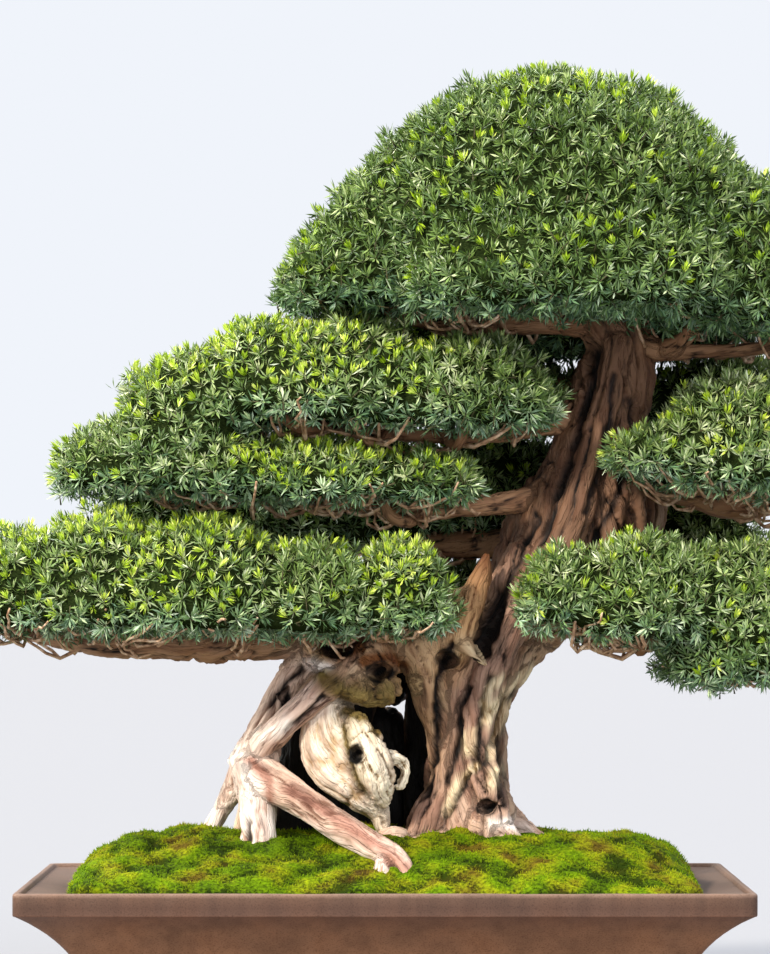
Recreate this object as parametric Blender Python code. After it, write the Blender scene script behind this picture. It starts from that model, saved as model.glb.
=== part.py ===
"""An old yew bonsai with a hollow, partly dead trunk base, in a flared rectangular pot.

Metres, +Z up, +X to the viewer's right, -Y towards the viewer. The origin is on the surface
that the pot stands on, under the middle of the pot. Tables of sizes are in millimetres.
"""

import math
import random

import bmesh
import bpy
import numpy as np
from mathutils import Vector, noise
from mathutils.bvhtree import BVHTree

MM = 0.001
GAP = 0.3 * MM  # between solids that rest on each other
SOFT_EDGE = 50  # degrees: faces that meet at less than this are shaded as one smooth surface

# The pot, fired clay
POT_LENGTH = 600
POT_DEPTH = 420
POT_HEIGHT = 115
BAND_HEIGHT = 19  # the upright face under the rim's edge
BEAD_WIDTH = 6
BEAD_RISE = 3  # above the ledge that it borders
LEDGE_WIDTH = 38
LEDGE_DROP = 5
COVE_RADIUS = 100  # the concave sweep from the band down to the base
COVE_CENTRE_OUT = 38  # beyond the rim's edge
COVE_CENTRE_HEIGHT = 3
FOOT_HEIGHT = 12
FOOT_LENGTH = 62
FOOT_DEPTH = 44
FOOT_WIDTH = 16  # of each arm of the angle under a corner
FOOT_INSET = 3
FOOT_DRAFT = 1
FOOT_SINK = 3  # into the base that it is pressed on
FLOOR_THICKNESS = 12
WALL_AT_FLOOR = 13
FLOOR_CHAMFER = 5  # where the inner wall meets the floor
EDGE_ROUNDING = 2  # of the rim's edges
CORNER_RADIUS = 7
CORNER_STEPS = 2
COVE_STEPS = 7
DRAIN_RADIUS = 15
DRAIN_SIDES = 20
DRAIN_SPACING = 220

# The drain screens, plastic mesh over each hole
SCREEN_SIDE = 52
SCREEN_THICKNESS = 1.6
SCREEN_CELLS = 3
SCREEN_BAR = 3

# The soil and the moss that covers it
SOIL_BELOW_LEDGE = 4
SOIL_GAP = 0.5  # to the pot
MOUND_RISE = 42
EDGE_GAP = 3  # between the mound's edge and the pot's inner wall
MOUND_HALF_LENGTH = POT_LENGTH / 2 - LEDGE_WIDTH - EDGE_GAP
MOUND_HALF_DEPTH = POT_DEPTH / 2 - LEDGE_WIDTH - EDGE_GAP
MOUND_BOXINESS = 8
MOUND_END_STEEPNESS = 0.6
GRID_CROWDING = 0.9  # the rings stand closer together towards the wall
GRID_POWER = (2.2, 9.2)  # of the superellipse: round in the middle, nearly a rectangle at the wall
MOUND_RINGS = 6
MOUND_SEGMENTS = 28
MOSS_THICKNESS = 7
MOSS_OVERHANG = 3  # over the ledge
CUSHION_HEIGHT = 7
CUSHION_RADIUS = 34
CUSHION_COUNT = 90
CUSHION_SIZES = (0.6, 1.1)

# Wood: each limb is a route of (x, y, z, radius). Limbs that touch grow together.
LIMBS = {
    "column": [
        (80, 10, 112, 44), (78, 4, 146, 45), (72, 0, 180, 36), (69, 0, 215, 32), (78, 0, 265, 33),
        (98, 4, 308, 37), (126, 8, 350, 48), (156, 8, 393, 58), (178, 8, 435, 57), (184, 5, 478, 42),
        (191, 0, 520, 30), (200, 0, 563, 27), (188, 0, 600, 29), (172, 5, 645, 20), (164, 0, 695, 14),
        (158, 0, 745, 8),
    ],
    "column_front": [
        (92, -32, 128, 20), (90, -34, 180, 13), (78, -30, 230, 12), (86, -30, 280, 13),
        (106, -34, 330, 16), (138, -44, 380, 18), (160, -44, 430, 18), (176, -32, 480, 14),
        (190, -24, 525, 11), (198, -20, 570, 12),
    ],
    "column_left": [
        (20, -24, 134, 12), (34, -20, 162, 14), (48, -16, 200, 11), (52, -18, 260, 12), (70, -24, 308, 14),
        (96, -32, 345, 15), (118, -30, 390, 14),
    ],
    "column_right": [
        (104, -6, 140, 17), (88, -14, 200, 12), (96, -12, 265, 11), (118, -6, 308, 12),
        (164, 2, 355, 18), (204, 4, 398, 22), (216, 2, 440, 22), (208, 0, 476, 16),
    ],
    "root_right": [
        (92, 0, 176, 22), (112, -8, 158, 14), (131, -6, 145, 10), (148, 0, 131, 8),
        (160, 6, 112, 6),
    ],
    "root_right_front": [(84, -28, 162, 18), (102, -42, 148, 12), (119, -50, 132, 9), (134, -54, 112, 6)],
    "root_right_back": [(86, 32, 168, 22), (115, 52, 150, 14), (142, 66, 132, 9), (160, 74, 110, 6)],
    "root_back": [(60, 30, 168, 24), (40, 72, 150, 16), (28, 98, 132, 11), (22, 118, 108, 7)],
    "root_nub": [(48, -22, 140, 18), (26, -36, 140, 13), (4, -46, 146, 13), (0, -47, 134, 12)],
    "bridge": [
        (132, 2, 348, 40), (90, -8, 334, 34), (45, -14, 324, 31), (4, -16, 318, 30),
        (-36, -14, 316, 27), (-68, -10, 316, 22),
    ],
    "leg_upper": [(-56, -14, 312, 22), (-82, -12, 274, 15), (-100, -12, 240, 16), (-112, -14, 208, 21)],
    "leg_foot": [(-110, -22, 206, 20), (-107, -36, 174, 15), (-106, -50, 144, 15), (-104, -54, 116, 12)],
    "leg_outer_root": [(-118, -6, 204, 14), (-135, 0, 178, 8), (-149, 2, 154, 7), (-163, 6, 128, 7)],
    "leg_back_root": [(-108, 6, 206, 18), (-112, 34, 174, 13), (-118, 56, 146, 12), (-122, 70, 116, 9)],
    "front_root": [
        (-102, -32, 202, 17), (-66, -62, 181, 13), (-28, -92, 158, 12), (6, -117, 139, 11),
        (17, -126, 126, 8), (21, -134, 112, 6),
    ],
    "front_root_toe": [(2, -116, 138, 9), (-2, -128, 124, 8), (-2, -134, 110, 6)],
    "brow_strand": [(-28, -44, 296, 13), (-56, -50, 272, 12), (-86, -44, 246, 11), (-106, -32, 226, 11)],
    "under_strand": [(-46, -30, 290, 10), (-72, -34, 262, 9), (-92, -30, 232, 9)],
    "burl_left": [(-50, -34, 310, 20), (-42, -44, 298, 15)],
    "burl_middle": [(-12, -42, 306, 20), (-2, -46, 292, 14)],
    "burl_low": [(-34, -44, 284, 14), (-12, -46, 274, 12), (6, -42, 276, 9)],
    "heart_wood": [
        (-40, -24, 284, 12), (-46, -26, 252, 23), (-40, -32, 222, 30), (-22, -38, 196, 23),
        (-6, -36, 173, 10), (-2, -34, 158, 6),
    ],
    "heart_face": [(-24, -50, 246, 10), (-13, -60, 222, 15), (-6, -56, 200, 14), (-2, -46, 182, 7)],
    "heart_flake": [(-4, -52, 218, 7), (9, -52, 219, 6), (17, -48, 208, 4.5), (12, -48, 194, 4)],
    "tan_sheet": [(32, -28, 316, 24), (44, -24, 276, 15), (44, -18, 240, 12), (46, -14, 208, 10)],
    "jin": [
        (56, -30, 304, 16), (66, -46, 328, 14), (74, -53, 351, 12), (81, -57, 371, 8),
        (85, -59, 388, 2.8),
    ],
    "jin_spur": [(62, -44, 318, 9), (74, -56, 308, 6), (84, -62, 297, 2.6)],
    "back_wall_left": [
        (-58, 26, 312, 22), (-70, 38, 262, 20), (-76, 42, 205, 20), (-82, 48, 150, 20),
        (-84, 52, 108, 15),
    ],
    "back_wall_middle": [
        (-24, 28, 316, 26), (-34, 42, 262, 25), (-37, 50, 220, 21), (-36, 56, 152, 20),
        (-36, 58, 108, 15),
    ],
    "back_wall_upper": [(10, 32, 318, 24), (6, 46, 288, 18), (5, 50, 272, 15)],
    "back_wall_lower": [(4, 54, 243, 17), (2, 56, 205, 19), (4, 56, 150, 19), (6, 56, 112, 15)],
    "back_wall_right": [
        (46, 20, 318, 26), (38, 36, 262, 20), (36, 42, 205, 20), (38, 42, 140, 20),
        (40, 32, 112, 16),
    ],
    "branch_left_low": [
        (-64, -10, 320, 22), (-100, -18, 320, 18), (-142, -28, 314, 15), (-186, -34, 316, 14),
        (-236, -34, 316, 13), (-284, -32, 324, 11), (-328, -30, 334, 9), (-366, -28, 352, 7),
        (-384, -28, 368, 5),
    ],
    "twig_left_low_1": [(-110, -24, 318, 8), (-130, -60, 334, 6), (-136, -84, 356, 4.5)],
    "twig_left_low_2": [(-200, -34, 316, 8), (-226, -62, 334, 6), (-236, -78, 358, 4.5)],
    "twig_left_low_3": [(-160, -30, 316, 8), (-170, 2, 334, 6), (-176, 18, 356, 4.5)],
    "twig_left_low_4": [(-290, -32, 324, 7), (-310, -60, 340, 5.5), (-322, -74, 358, 4.5)],
    "branch_front_low": [(-8, -40, 316, 10), (2, -66, 330, 8), (8, -88, 346, 6), (10, -96, 362, 4.5)],
    "branch_front_left_low": [(-58, -30, 318, 10), (-62, -58, 334, 8), (-64, -78, 352, 5)],
    "branch_left_middle": [
        (160, 0, 430, 22), (122, -14, 434, 13), (80, -28, 430, 9.5), (36, -38, 425, 8), (-12, -44, 428, 7.5),
        (-62, -46, 436, 7), (-112, -44, 442, 6.5), (-164, -38, 448, 5.5), (-196, -32, 458, 4.5),
    ],
    "twig_left_middle_1": [(30, -39, 424, 6), (18, -48, 416, 5), (2, -58, 424, 4.5), (-4, -66, 448, 4)],
    "twig_left_middle_2": [(-100, -44, 438, 7), (-124, -66, 444, 5.5), (-140, -76, 462, 4)],
    "twig_left_middle_3": [(-140, -40, 444, 7), (-190, -10, 450, 5.5), (-214, -4, 468, 4)],
    "branch_left_upper": [
        (186, 6, 512, 20), (142, -8, 502, 12), (96, -28, 492, 9.5), (46, -44, 488, 7.5), (-6, -52, 491, 7),
        (-58, -54, 498, 6.5), (-106, -50, 506, 6), (-140, -46, 520, 5), (-152, -44, 534, 4),
    ],
    "twig_left_upper_1": [(54, -44, 487, 7), (60, -62, 480, 5), (66, -72, 492, 4.5), (68, -76, 514, 4)],
    "twig_left_upper_2": [(2, -52, 489, 7), (-10, -68, 482, 5), (-22, -76, 494, 4.5), (-30, -80, 518, 4)],
    "twig_left_upper_3": [(-50, -54, 495, 7), (-72, -74, 494, 5), (-92, -80, 512, 4.5), (-98, -82, 528, 4)],
    "branch_crown_left": [
        (188, 0, 590, 20), (148, -16, 588, 13), (104, -28, 583, 9.5), (62, -34, 582, 7.5), (20, -34, 588, 6.5),
        (-8, -30, 602, 5.5), (-20, -28, 622, 4.5),
    ],
    "twig_crown_left": [(92, -30, 583, 8), (78, -52, 584, 6), (64, -72, 594, 5), (58, -80, 614, 4)],
    "branch_crown_right": [
        (196, 0, 574, 20), (228, -12, 563, 11), (268, -20, 561, 8), (312, -22, 563, 7),
        (344, -20, 572, 6), (360, -16, 598, 5),
    ],
    "twig_crown_right": [(236, -14, 562, 8), (252, -36, 570, 6), (262, -50, 586, 5), (266, -56, 606, 4)],
    "branch_crown_back": [(184, 6, 600, 18), (176, 40, 590, 12), (168, 76, 592, 8), (164, 96, 616, 5)],
    "branch_right_middle": [
        (206, 0, 446, 24), (238, -10, 448, 16), (264, -22, 440, 13), (286, -30, 431, 12), (318, -34, 431, 11),
        (344, -34, 440, 8), (354, -34, 460, 5),
    ],
    "twig_right_middle_1": [(248, -16, 446, 9), (262, -44, 446, 7), (276, -58, 460, 5), (282, -62, 478, 4)],
    "branch_right_low": [
        (140, -12, 362, 28), (160, -40, 338, 18), (192, -60, 324, 13), (236, -70, 320, 11),
        (284, -70, 314, 9), (326, -60, 314, 8), (352, -50, 320, 6), (362, -44, 332, 4.5),
    ],
    "twig_right_low_1": [(168, -46, 330, 9), (160, -74, 326, 6), (156, -88, 346, 4.5)],
    "twig_right_low_2": [(212, -66, 312, 9), (218, -82, 322, 6), (222, -90, 346, 4.5)],
    "branch_back_left": [
        (136, 30, 402, 18), (92, 74, 398, 13), (36, 106, 398, 10), (-30, 122, 400, 9), (-96, 122, 406, 7),
        (-150, 114, 414, 6), (-176, 110, 434, 4.5),
    ],
    "branch_back_upper": [
        (190, 20, 564, 16), (178, 56, 548, 12), (166, 92, 538, 9), (154, 112, 534, 7),
        (142, 120, 540, 4.5),
    ],
    "twig_back_upper_left": [
        (168, 88, 539, 8), (110, 108, 532, 7), (40, 116, 538, 6), (-20, 114, 544, 5), (-42, 112, 556, 4),
    ],
    "twig_back_upper_right": [(168, 88, 539, 8), (214, 108, 526, 6), (262, 112, 518, 5), (290, 106, 528, 4)],
    "branch_back_right": [
        (196, 30, 452, 18), (230, 74, 448, 12), (266, 104, 452, 9), (290, 114, 464, 6),
        (298, 116, 486, 4.5),
    ],
    "branch_back_low": [
        (138, 34, 350, 20), (152, 78, 336, 13), (164, 112, 332, 10), (168, 132, 344, 7),
        (170, 138, 368, 4.5),
    ],
    "twig_back_low_left": [(150, 74, 337, 8), (112, 104, 328, 6), (76, 122, 332, 5), (64, 126, 350, 4)],
    "twig_back_low": [(162, 108, 333, 8), (206, 116, 338, 6), (244, 116, 350, 5), (258, 116, 372, 4)],
}
# Holes rotted into the dead wood, as (x, y, z, radius)
ROT_HOLES = [
    (-24, -68, 222, 7), (-50, -64, 318, 11), (-22, -64, 294, 8), (24, -50, 292, 9), (70, -46, 172, 8),
]
ROT_HOLE_STRETCH = (1, 1.8, 1.1)  # deeper into the wood than wide
ROOT_DEPTH = 15  # the roots are pruned off this far under the soil
LIMB_SIDES = 10
LIMB_STEPS = 4  # rings for each stretch between two points of a route
LIMB_BLUNTNESS = 0.6
WOOD_VOXEL = 2.6
WOOD_GNARL = 2.2
WOOD_GNARL_SCALE = 26
WOOD_GNARL_SQUASH = 0.6  # the gnarls are longer up the wood than across it
WOOD_FACES = 3500
WOOD_CLEARANCE = 0.36 * MM  # of what stands round the wood, a little over the gap
MOVE_ROUNDS = 20

# Foliage: each pad is domes of (x, y, z of the widest level, half length, half depth, height above it),
# out to the needle tips.
PADS = {
    "foliage_crown": [
        (145, 0, 612, 200, 165, 196), (8, -12, 612, 84, 100, 112), (-28, -18, 610, 70, 92, 70),
        (305, -8, 594, 115, 118, 120), (150, -95, 606, 150, 95, 95), (155, 100, 580, 160, 95, 136),
    ],
    "foliage_left_upper": [
        (62, -62, 508, 90, 78, 68), (-38, -52, 512, 96, 88, 84), (-95, -45, 518, 70, 80, 78),
        (-150, -42, 506, 80, 76, 60), (-166, -46, 466, 76, 78, 90), (-222, -28, 456, 66, 70, 52),
        (-150, -48, 452, 90, 84, 48), (-58, -62, 446, 88, 78, 44), (30, -58, 445, 58, 58, 38),
    ],
    "foliage_left_low": [
        (10, -92, 337, 54, 54, 73), (-62, -84, 337, 72, 78, 73), (-150, -74, 338, 92, 96, 86),
        (-238, -56, 338, 90, 94, 90), (-304, -38, 338, 76, 86, 80), (-356, -26, 340, 64, 66, 58),
    ],
    "foliage_right_middle": [
        (228, -72, 468, 50, 55, 36), (292, -62, 456, 76, 74, 92), (352, -35, 446, 68, 74, 104),
    ],
    "foliage_right_low": [
        (150, -92, 342, 50, 55, 62), (220, -88, 332, 76, 78, 84), (300, -70, 294, 80, 80, 116),
        (360, -40, 292, 60, 72, 108),
    ],
    "foliage_back_upper": [
        (-40, 114, 545, 105, 68, 36), (85, 124, 536, 110, 74, 28), (200, 126, 512, 95, 74, 50),
        (300, 110, 486, 90, 72, 88),
    ],
    "foliage_back_left": [
        (-70, 124, 410, 120, 72, 96), (-182, 108, 412, 72, 64, 92), (0, 126, 418, 76, 66, 86),
        (92, 128, 420, 100, 66, 86),
    ],
    "foliage_back_low": [
        (200, 132, 346, 80, 72, 50), (262, 116, 364, 84, 70, 94), (62, 128, 340, 82, 62, 50),
        (130, 132, 346, 70, 68, 48),
    ],
}
SOLE_DEPTH = 20  # how far a pad bulges below its widest level
CROWN_SOLE_DEPTH = 24
SOLE_FULLNESS = 0.5  # below its widest level a pad is nearly flat, not round
NEEDLE_LENGTH = 13
NEEDLE_STANDS_OUT = 11  # the tips stand this far out of the core
NEEDLE_LEANS = (38, 62)  # degrees from upright
TUFT_RADIUS = 2.4
TUFT_LIFT = 2
NEEDLE_LENGTHS = (0.85, 1.1)  # as shares of the length
DEEPEST_HOLLOW = 6  # a shoot tip doesn't grow out of a deeper one
NEEDLE_COUNTS = (4, 9)  # in a whorl
ROOM_TO_WOOD = 5  # beyond the needles' length
ROOM_TO_PAD = 3
PAD_VOXEL = 7
CLUMP_RELIEF = 5
CLUMP_SIZE = 45
CORE_FACES_PER_M2 = 1500
CORE_FACES_FEWEST = 130
SEED = 11

COLOURS = {
    "pot": ((0.23, 0.13, 0.10), 0.75),
    "soil": ((0.16, 0.10, 0.06), 0.95),
    "screen": ((0.03, 0.03, 0.03), 0.6),
    "moss": ((0.22, 0.36, 0.04), 0.95),
    "wood": ((0.36, 0.24, 0.16), 0.8),
    "needles": ((0.10, 0.22, 0.06), 0.6),
}


def clear_scene():
    for obj in list(bpy.data.objects):
        bpy.data.objects.remove(obj)


def material(name):
    """The Principled material of this name, made once."""
    found = bpy.data.materials.get(name)
    if found:
        return found
    colour, roughness = COLOURS[name]
    made = bpy.data.materials.new(name)
    made.use_nodes = True
    shader = made.node_tree.nodes["Principled BSDF"]
    shader.inputs["Base Color"].default_value = (*colour, 1)
    shader.inputs["Roughness"].default_value = roughness
    shader.inputs["Metallic"].default_value = 0
    return made


def add_object(name, mesh, finish=None):
    obj = bpy.data.objects.new(name, mesh)
    bpy.context.scene.collection.objects.link(obj)
    if finish:
        mesh.materials.clear()
        mesh.materials.append(material(finish))
    return obj


def mesh_of(name, bm):
    bmesh.ops.recalc_face_normals(bm, faces=bm.faces)
    mesh = bpy.data.meshes.new(name)
    bm.to_mesh(mesh)
    bm.free()
    return mesh


def hidden(obj):
    """Marks a cutter, which isn't part of the object."""
    obj.hide_render = True
    obj.display_type = "WIRE"
    return obj


def add_modifier(obj, kind, **settings):
    modifier = obj.modifiers.new(kind.title(), kind)
    for key, value in settings.items():
        setattr(modifier, key, value)
    return modifier


def apply_modifiers(obj):
    """Replaces the object's mesh by what its modifiers make of it."""
    graph = bpy.context.evaluated_depsgraph_get()
    baked = bpy.data.meshes.new_from_object(obj.evaluated_get(graph), depsgraph=graph)
    obj.modifiers.clear()
    obj.data = baked


def smooth(obj, angle):
    obj.data.shade_smooth()
    obj.data.set_sharp_from_angle(angle=math.radians(angle))


def boolean(obj, other, operation):
    add_modifier(obj, "BOOLEAN", object=other, operation=operation, solver="EXACT")


def ring_faces(bm, low, high):
    """Quads between two rings of the same number of vertices."""
    count = len(low)
    for i in range(count):
        j = (i + 1) % count
        bm.faces.new((low[i], low[j], high[j], high[i]))


def smooth_route(route):
    """Points and radii along a smooth curve through the route's own points, in metres."""
    knots = [np.array(p, float) for p in route]
    knots = [2 * knots[0] - knots[1], *knots, 2 * knots[-1] - knots[-2]]
    made = []
    for a, b, c, d in zip(knots, knots[1:], knots[2:], knots[3:]):
        for step in range(LIMB_STEPS):
            t = step / LIMB_STEPS
            bend = 2 * a - 5 * b + 4 * c - d
            turn = 3 * b - a - 3 * c + d
            made.append(0.5 * (2 * b + (c - a) * t + bend * t**2 + turn * t**3))
    made.append(knots[-2])
    return np.array(made) * MM


def add_limb(bm, route):
    """A closed round tube along a route, with blunt ends."""
    points = smooth_route(route)
    across = None
    rings = []
    for i, point in enumerate(points):
        ahead = Vector(points[min(i + 1, len(points) - 1)][:3] - points[max(i - 1, 0)][:3]).normalized()
        if across is None:
            across = ahead.orthogonal().normalized()
        across = (across - ahead * across.dot(ahead)).normalized()
        side = ahead.cross(across)
        centre, radius = Vector(point[:3]), point[3]
        offsets = [(1, 0)]  # (share of the radius, share of it along the route)
        if i == 0:
            offsets = [(LIMB_BLUNTNESS, -LIMB_BLUNTNESS), (1, 0)]
        if i == len(points) - 1:
            offsets = [(1, 0), (LIMB_BLUNTNESS, LIMB_BLUNTNESS)]
        for width, along in offsets:
            rings.append(
                [
                    bm.verts.new(
                        centre
                        + ahead * along * radius
                        + (across * math.cos(a) + side * math.sin(a)) * radius * width
                    )
                    for a in (2 * math.pi * k / LIMB_SIDES for k in range(LIMB_SIDES))
                ]
            )
    for low, high in zip(rings, rings[1:]):
        ring_faces(bm, low, high)
    bm.faces.new(rings[0][::-1])
    bm.faces.new(rings[-1])


def displace(mesh, offset_at):
    """Moves each vertex along its normal by offset_at(place), in metres."""
    normals = [v.normal.copy() for v in mesh.vertices]
    for v, normal in zip(mesh.vertices, normals):
        v.co += normal * offset_at(v.co)
    mesh.update()


def mound(x, y):
    """The share of the mound's rise at this place: long and boxy across the pot, rounder front to back."""
    along = min(1, abs(x) / MOUND_HALF_LENGTH)
    across = min(1, abs(y) / MOUND_HALF_DEPTH)
    return (1 - along**MOUND_BOXINESS) ** MOUND_END_STEEPNESS * (1 - across**2)


def soil_top(x, y):
    ledge_inner = POT_HEIGHT - BEAD_RISE - LEDGE_DROP
    return ledge_inner - SOIL_BELOW_LEDGE + MOUND_RISE * mound(x, y)


def mound_grid():
    """Rings of (x, y) from the middle of the soil out to the pot's wall, shared by the soil and the moss."""
    rings = []
    for r in range(1, MOUND_RINGS + 1):
        share = math.sin(math.pi / 2 * r / MOUND_RINGS) ** GRID_CROWDING
        power = GRID_POWER[0] + (GRID_POWER[1] - GRID_POWER[0]) * share**3
        ring = []
        for k in range(MOUND_SEGMENTS):
            a = 2 * math.pi * k / MOUND_SEGMENTS
            c, s = math.cos(a), math.sin(a)
            reach = share / (abs(c) ** power + abs(s) ** power) ** (1 / power)
            ring.append((MOUND_HALF_LENGTH * reach * c, MOUND_HALF_DEPTH * reach * s))
        rings.append(ring)
    return rings


def layer(bm, rings, height_at):
    """A disc of triangles over the mound's grid, alike wherever the rings are the same. Returns its rim."""
    centre = bm.verts.new(Vector((0, 0, height_at(0, 0))) * MM)
    made = [[bm.verts.new(Vector((x, y, height_at(x, y))) * MM) for x, y in ring] for ring in rings]
    for i in range(MOUND_SEGMENTS):
        bm.faces.new((centre, made[0][i], made[0][(i + 1) % MOUND_SEGMENTS]))
    for low, high in zip(made, made[1:]):
        for i in range(MOUND_SEGMENTS):
            j = (i + 1) % MOUND_SEGMENTS
            bm.faces.new((low[i], low[j], high[j]))
            bm.faces.new((low[i], high[j], high[i]))
    return made[-1]


def make_wood():
    bm = bmesh.new()
    for route in LIMBS.values():
        add_limb(bm, route)
    wood = add_object("tree_wood", mesh_of("tree_wood", bm), "wood")
    add_modifier(wood, "REMESH", mode="VOXEL", voxel_size=WOOD_VOXEL * MM)
    apply_modifiers(wood)
    scale = 1 / (WOOD_GNARL_SCALE * MM)
    stretch = Vector((scale, scale, scale * WOOD_GNARL_SQUASH))
    displace(wood.data, lambda p: WOOD_GNARL * MM * noise.noise(p * stretch))

    bm = bmesh.new()
    for x, y, z, radius in ROT_HOLES:
        made = bmesh.ops.create_icosphere(bm, subdivisions=2, radius=radius * MM)
        bmesh.ops.scale(bm, vec=ROT_HOLE_STRETCH, verts=made["verts"])
        bmesh.ops.translate(bm, vec=Vector((x, y, z)) * MM, verts=made["verts"])
    boolean(wood, hidden(add_object("rot_holes", mesh_of("rot_holes", bm))), "DIFFERENCE")
    bm = bmesh.new()
    low = layer(bm, mound_grid(), lambda x, y: 0)
    high = layer(bm, mound_grid(), lambda x, y: soil_top(x, y) - ROOT_DEPTH)
    ring_faces(bm, low, high)
    boolean(wood, hidden(add_object("root_pruning", mesh_of("root_pruning", bm))), "DIFFERENCE")
    apply_modifiers(wood)
    faces = sum(len(p.vertices) - 2 for p in wood.data.polygons)
    add_modifier(wood, "DECIMATE", ratio=WOOD_FACES / faces, use_collapse_triangulate=True)
    apply_modifiers(wood)
    wood.data.materials.clear()
    wood.data.materials.append(material("wood"))
    smooth(wood, SOFT_EDGE)
    return wood


def move_off(vert, gap):
    """The step that takes a vertex this far out from every face round it."""
    step = Vector()
    for _ in range(MOVE_ROUNDS):
        for face in vert.link_faces:
            short = gap - step.dot(face.normal)
            if short > 0:
                step += face.normal * short
    return step


def make_clearance(wood):
    """A cutter a little larger than the wood all round, so that what stands round it keeps a gap."""
    bm = bmesh.new()
    bm.from_mesh(wood.data)
    bm.normal_update()
    steps = [move_off(v, WOOD_CLEARANCE) for v in bm.verts]
    for v, step in zip(bm.verts, steps):
        v.co += step
    grown = hidden(add_object("wood_clearance", mesh_of("wood_clearance", bm)))
    boolean(grown, wood, "UNION")  # at the sharpest points, where moving off one face enters another
    apply_modifiers(grown)
    return grown


def rounded_rectangle(bm, half_x, half_y, z):
    """A ring of vertices round a rectangle with round corners, anticlockwise from above."""
    made = []
    for turn, (sx, sy) in enumerate(((1, 1), (-1, 1), (-1, -1), (1, -1))):
        for step in range(CORNER_STEPS + 1):
            angle = math.pi / 2 * (turn + step / CORNER_STEPS)
            x = sx * (half_x - CORNER_RADIUS) + CORNER_RADIUS * math.cos(angle)
            y = sy * (half_y - CORNER_RADIUS) + CORNER_RADIUS * math.sin(angle)
            made.append(bm.verts.new(Vector((x, y, z)) * MM))
    return made


def cove_inset(z):
    """How far the outer wall stands in from the rim's edge at this height, on the concave sweep."""
    rise = z - COVE_CENTRE_HEIGHT
    return math.sqrt(COVE_RADIUS**2 - rise**2) - COVE_CENTRE_OUT


def inner_wall_inset(z):
    """How far the inner wall stands in from the rim's edge, from the ledge down to the floor."""
    floor = FOOT_HEIGHT + FLOOR_THICKNESS
    ledge = POT_HEIGHT - BEAD_RISE - LEDGE_DROP
    at_ledge = LEDGE_WIDTH
    at_floor = cove_inset(floor) + WALL_AT_FLOOR
    return at_ledge + (at_floor - at_ledge) * (ledge - z) / (ledge - floor)


def make_pot():
    half_x, half_y = POT_LENGTH / 2, POT_DEPTH / 2
    band_foot = POT_HEIGHT - BAND_HEIGHT
    ledge_outer = POT_HEIGHT - BEAD_RISE
    ledge_inner = ledge_outer - LEDGE_DROP
    floor = FOOT_HEIGHT + FLOOR_THICKNESS
    mid_wall = (floor + POT_HEIGHT) / 2
    cove = [FOOT_HEIGHT + (band_foot - FOOT_HEIGHT) * k / COVE_STEPS for k in range(COVE_STEPS)]
    profile = [(cove_inset(z), z) for z in cove]
    profile += [(EDGE_ROUNDING, band_foot - 1), (0, band_foot + EDGE_ROUNDING)]
    profile += [(0, POT_HEIGHT - EDGE_ROUNDING), (EDGE_ROUNDING, POT_HEIGHT)]
    profile += [(BEAD_WIDTH - 1, POT_HEIGHT), (BEAD_WIDTH, ledge_outer)]
    profile += [(LEDGE_WIDTH - EDGE_ROUNDING, ledge_inner), (LEDGE_WIDTH, ledge_inner - EDGE_ROUNDING)]
    profile += [(inner_wall_inset(z), z) for z in (mid_wall, floor + FLOOR_CHAMFER)]
    profile += [(inner_wall_inset(floor) + FLOOR_CHAMFER, floor)]

    bm = bmesh.new()
    rings = [rounded_rectangle(bm, half_x - inset, half_y - inset, z) for inset, z in profile]
    for low, high in zip(rings, rings[1:]):
        ring_faces(bm, low, high)
    bm.faces.new(rings[0][::-1])
    bm.faces.new(rings[-1])
    pot = add_object("pot", mesh_of("pot", bm), "pot")

    bm = bmesh.new()
    base_x = half_x - cove_inset(FOOT_HEIGHT) - FOOT_INSET
    base_y = half_y - cove_inset(FOOT_HEIGHT) - FOOT_INSET
    outline = [(base_x, base_y), (base_x - FOOT_LENGTH, base_y), (base_x - FOOT_LENGTH, base_y - FOOT_WIDTH)]
    outline += [(base_x - FOOT_WIDTH, base_y - FOOT_WIDTH), (base_x - FOOT_WIDTH, base_y - FOOT_DEPTH)]
    outline += [(base_x, base_y - FOOT_DEPTH)]
    for sx in (-1, 1):
        for sy in (-1, 1):
            low = [bm.verts.new(Vector((sx * x, sy * y, 0)) * MM) for x, y in outline]
            wider = [(x + FOOT_DRAFT, y + FOOT_DRAFT) for x, y in outline]
            high = [bm.verts.new(Vector((sx * x, sy * y, FOOT_HEIGHT + FOOT_SINK)) * MM) for x, y in wider]
            ring_faces(bm, low, high)
            bm.faces.new(low[::-1])
            bm.faces.new(high)
    boolean(pot, hidden(add_object("pot_feet", mesh_of("pot_feet", bm))), "UNION")

    bm = bmesh.new()
    for side in (-1, 1):
        radius = DRAIN_RADIUS * MM
        depth = 3 * FLOOR_THICKNESS * MM
        made = bmesh.ops.create_cone(
            bm, cap_ends=True, segments=DRAIN_SIDES, radius1=radius, radius2=radius, depth=depth
        )
        place = Vector((side * DRAIN_SPACING / 2, 0, FOOT_HEIGHT + FLOOR_THICKNESS / 2)) * MM
        bmesh.ops.translate(bm, vec=place, verts=made["verts"])
    boolean(pot, hidden(add_object("drain_holes", mesh_of("drain_holes", bm))), "DIFFERENCE")
    smooth(pot, SOFT_EDGE)
    return pot


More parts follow.
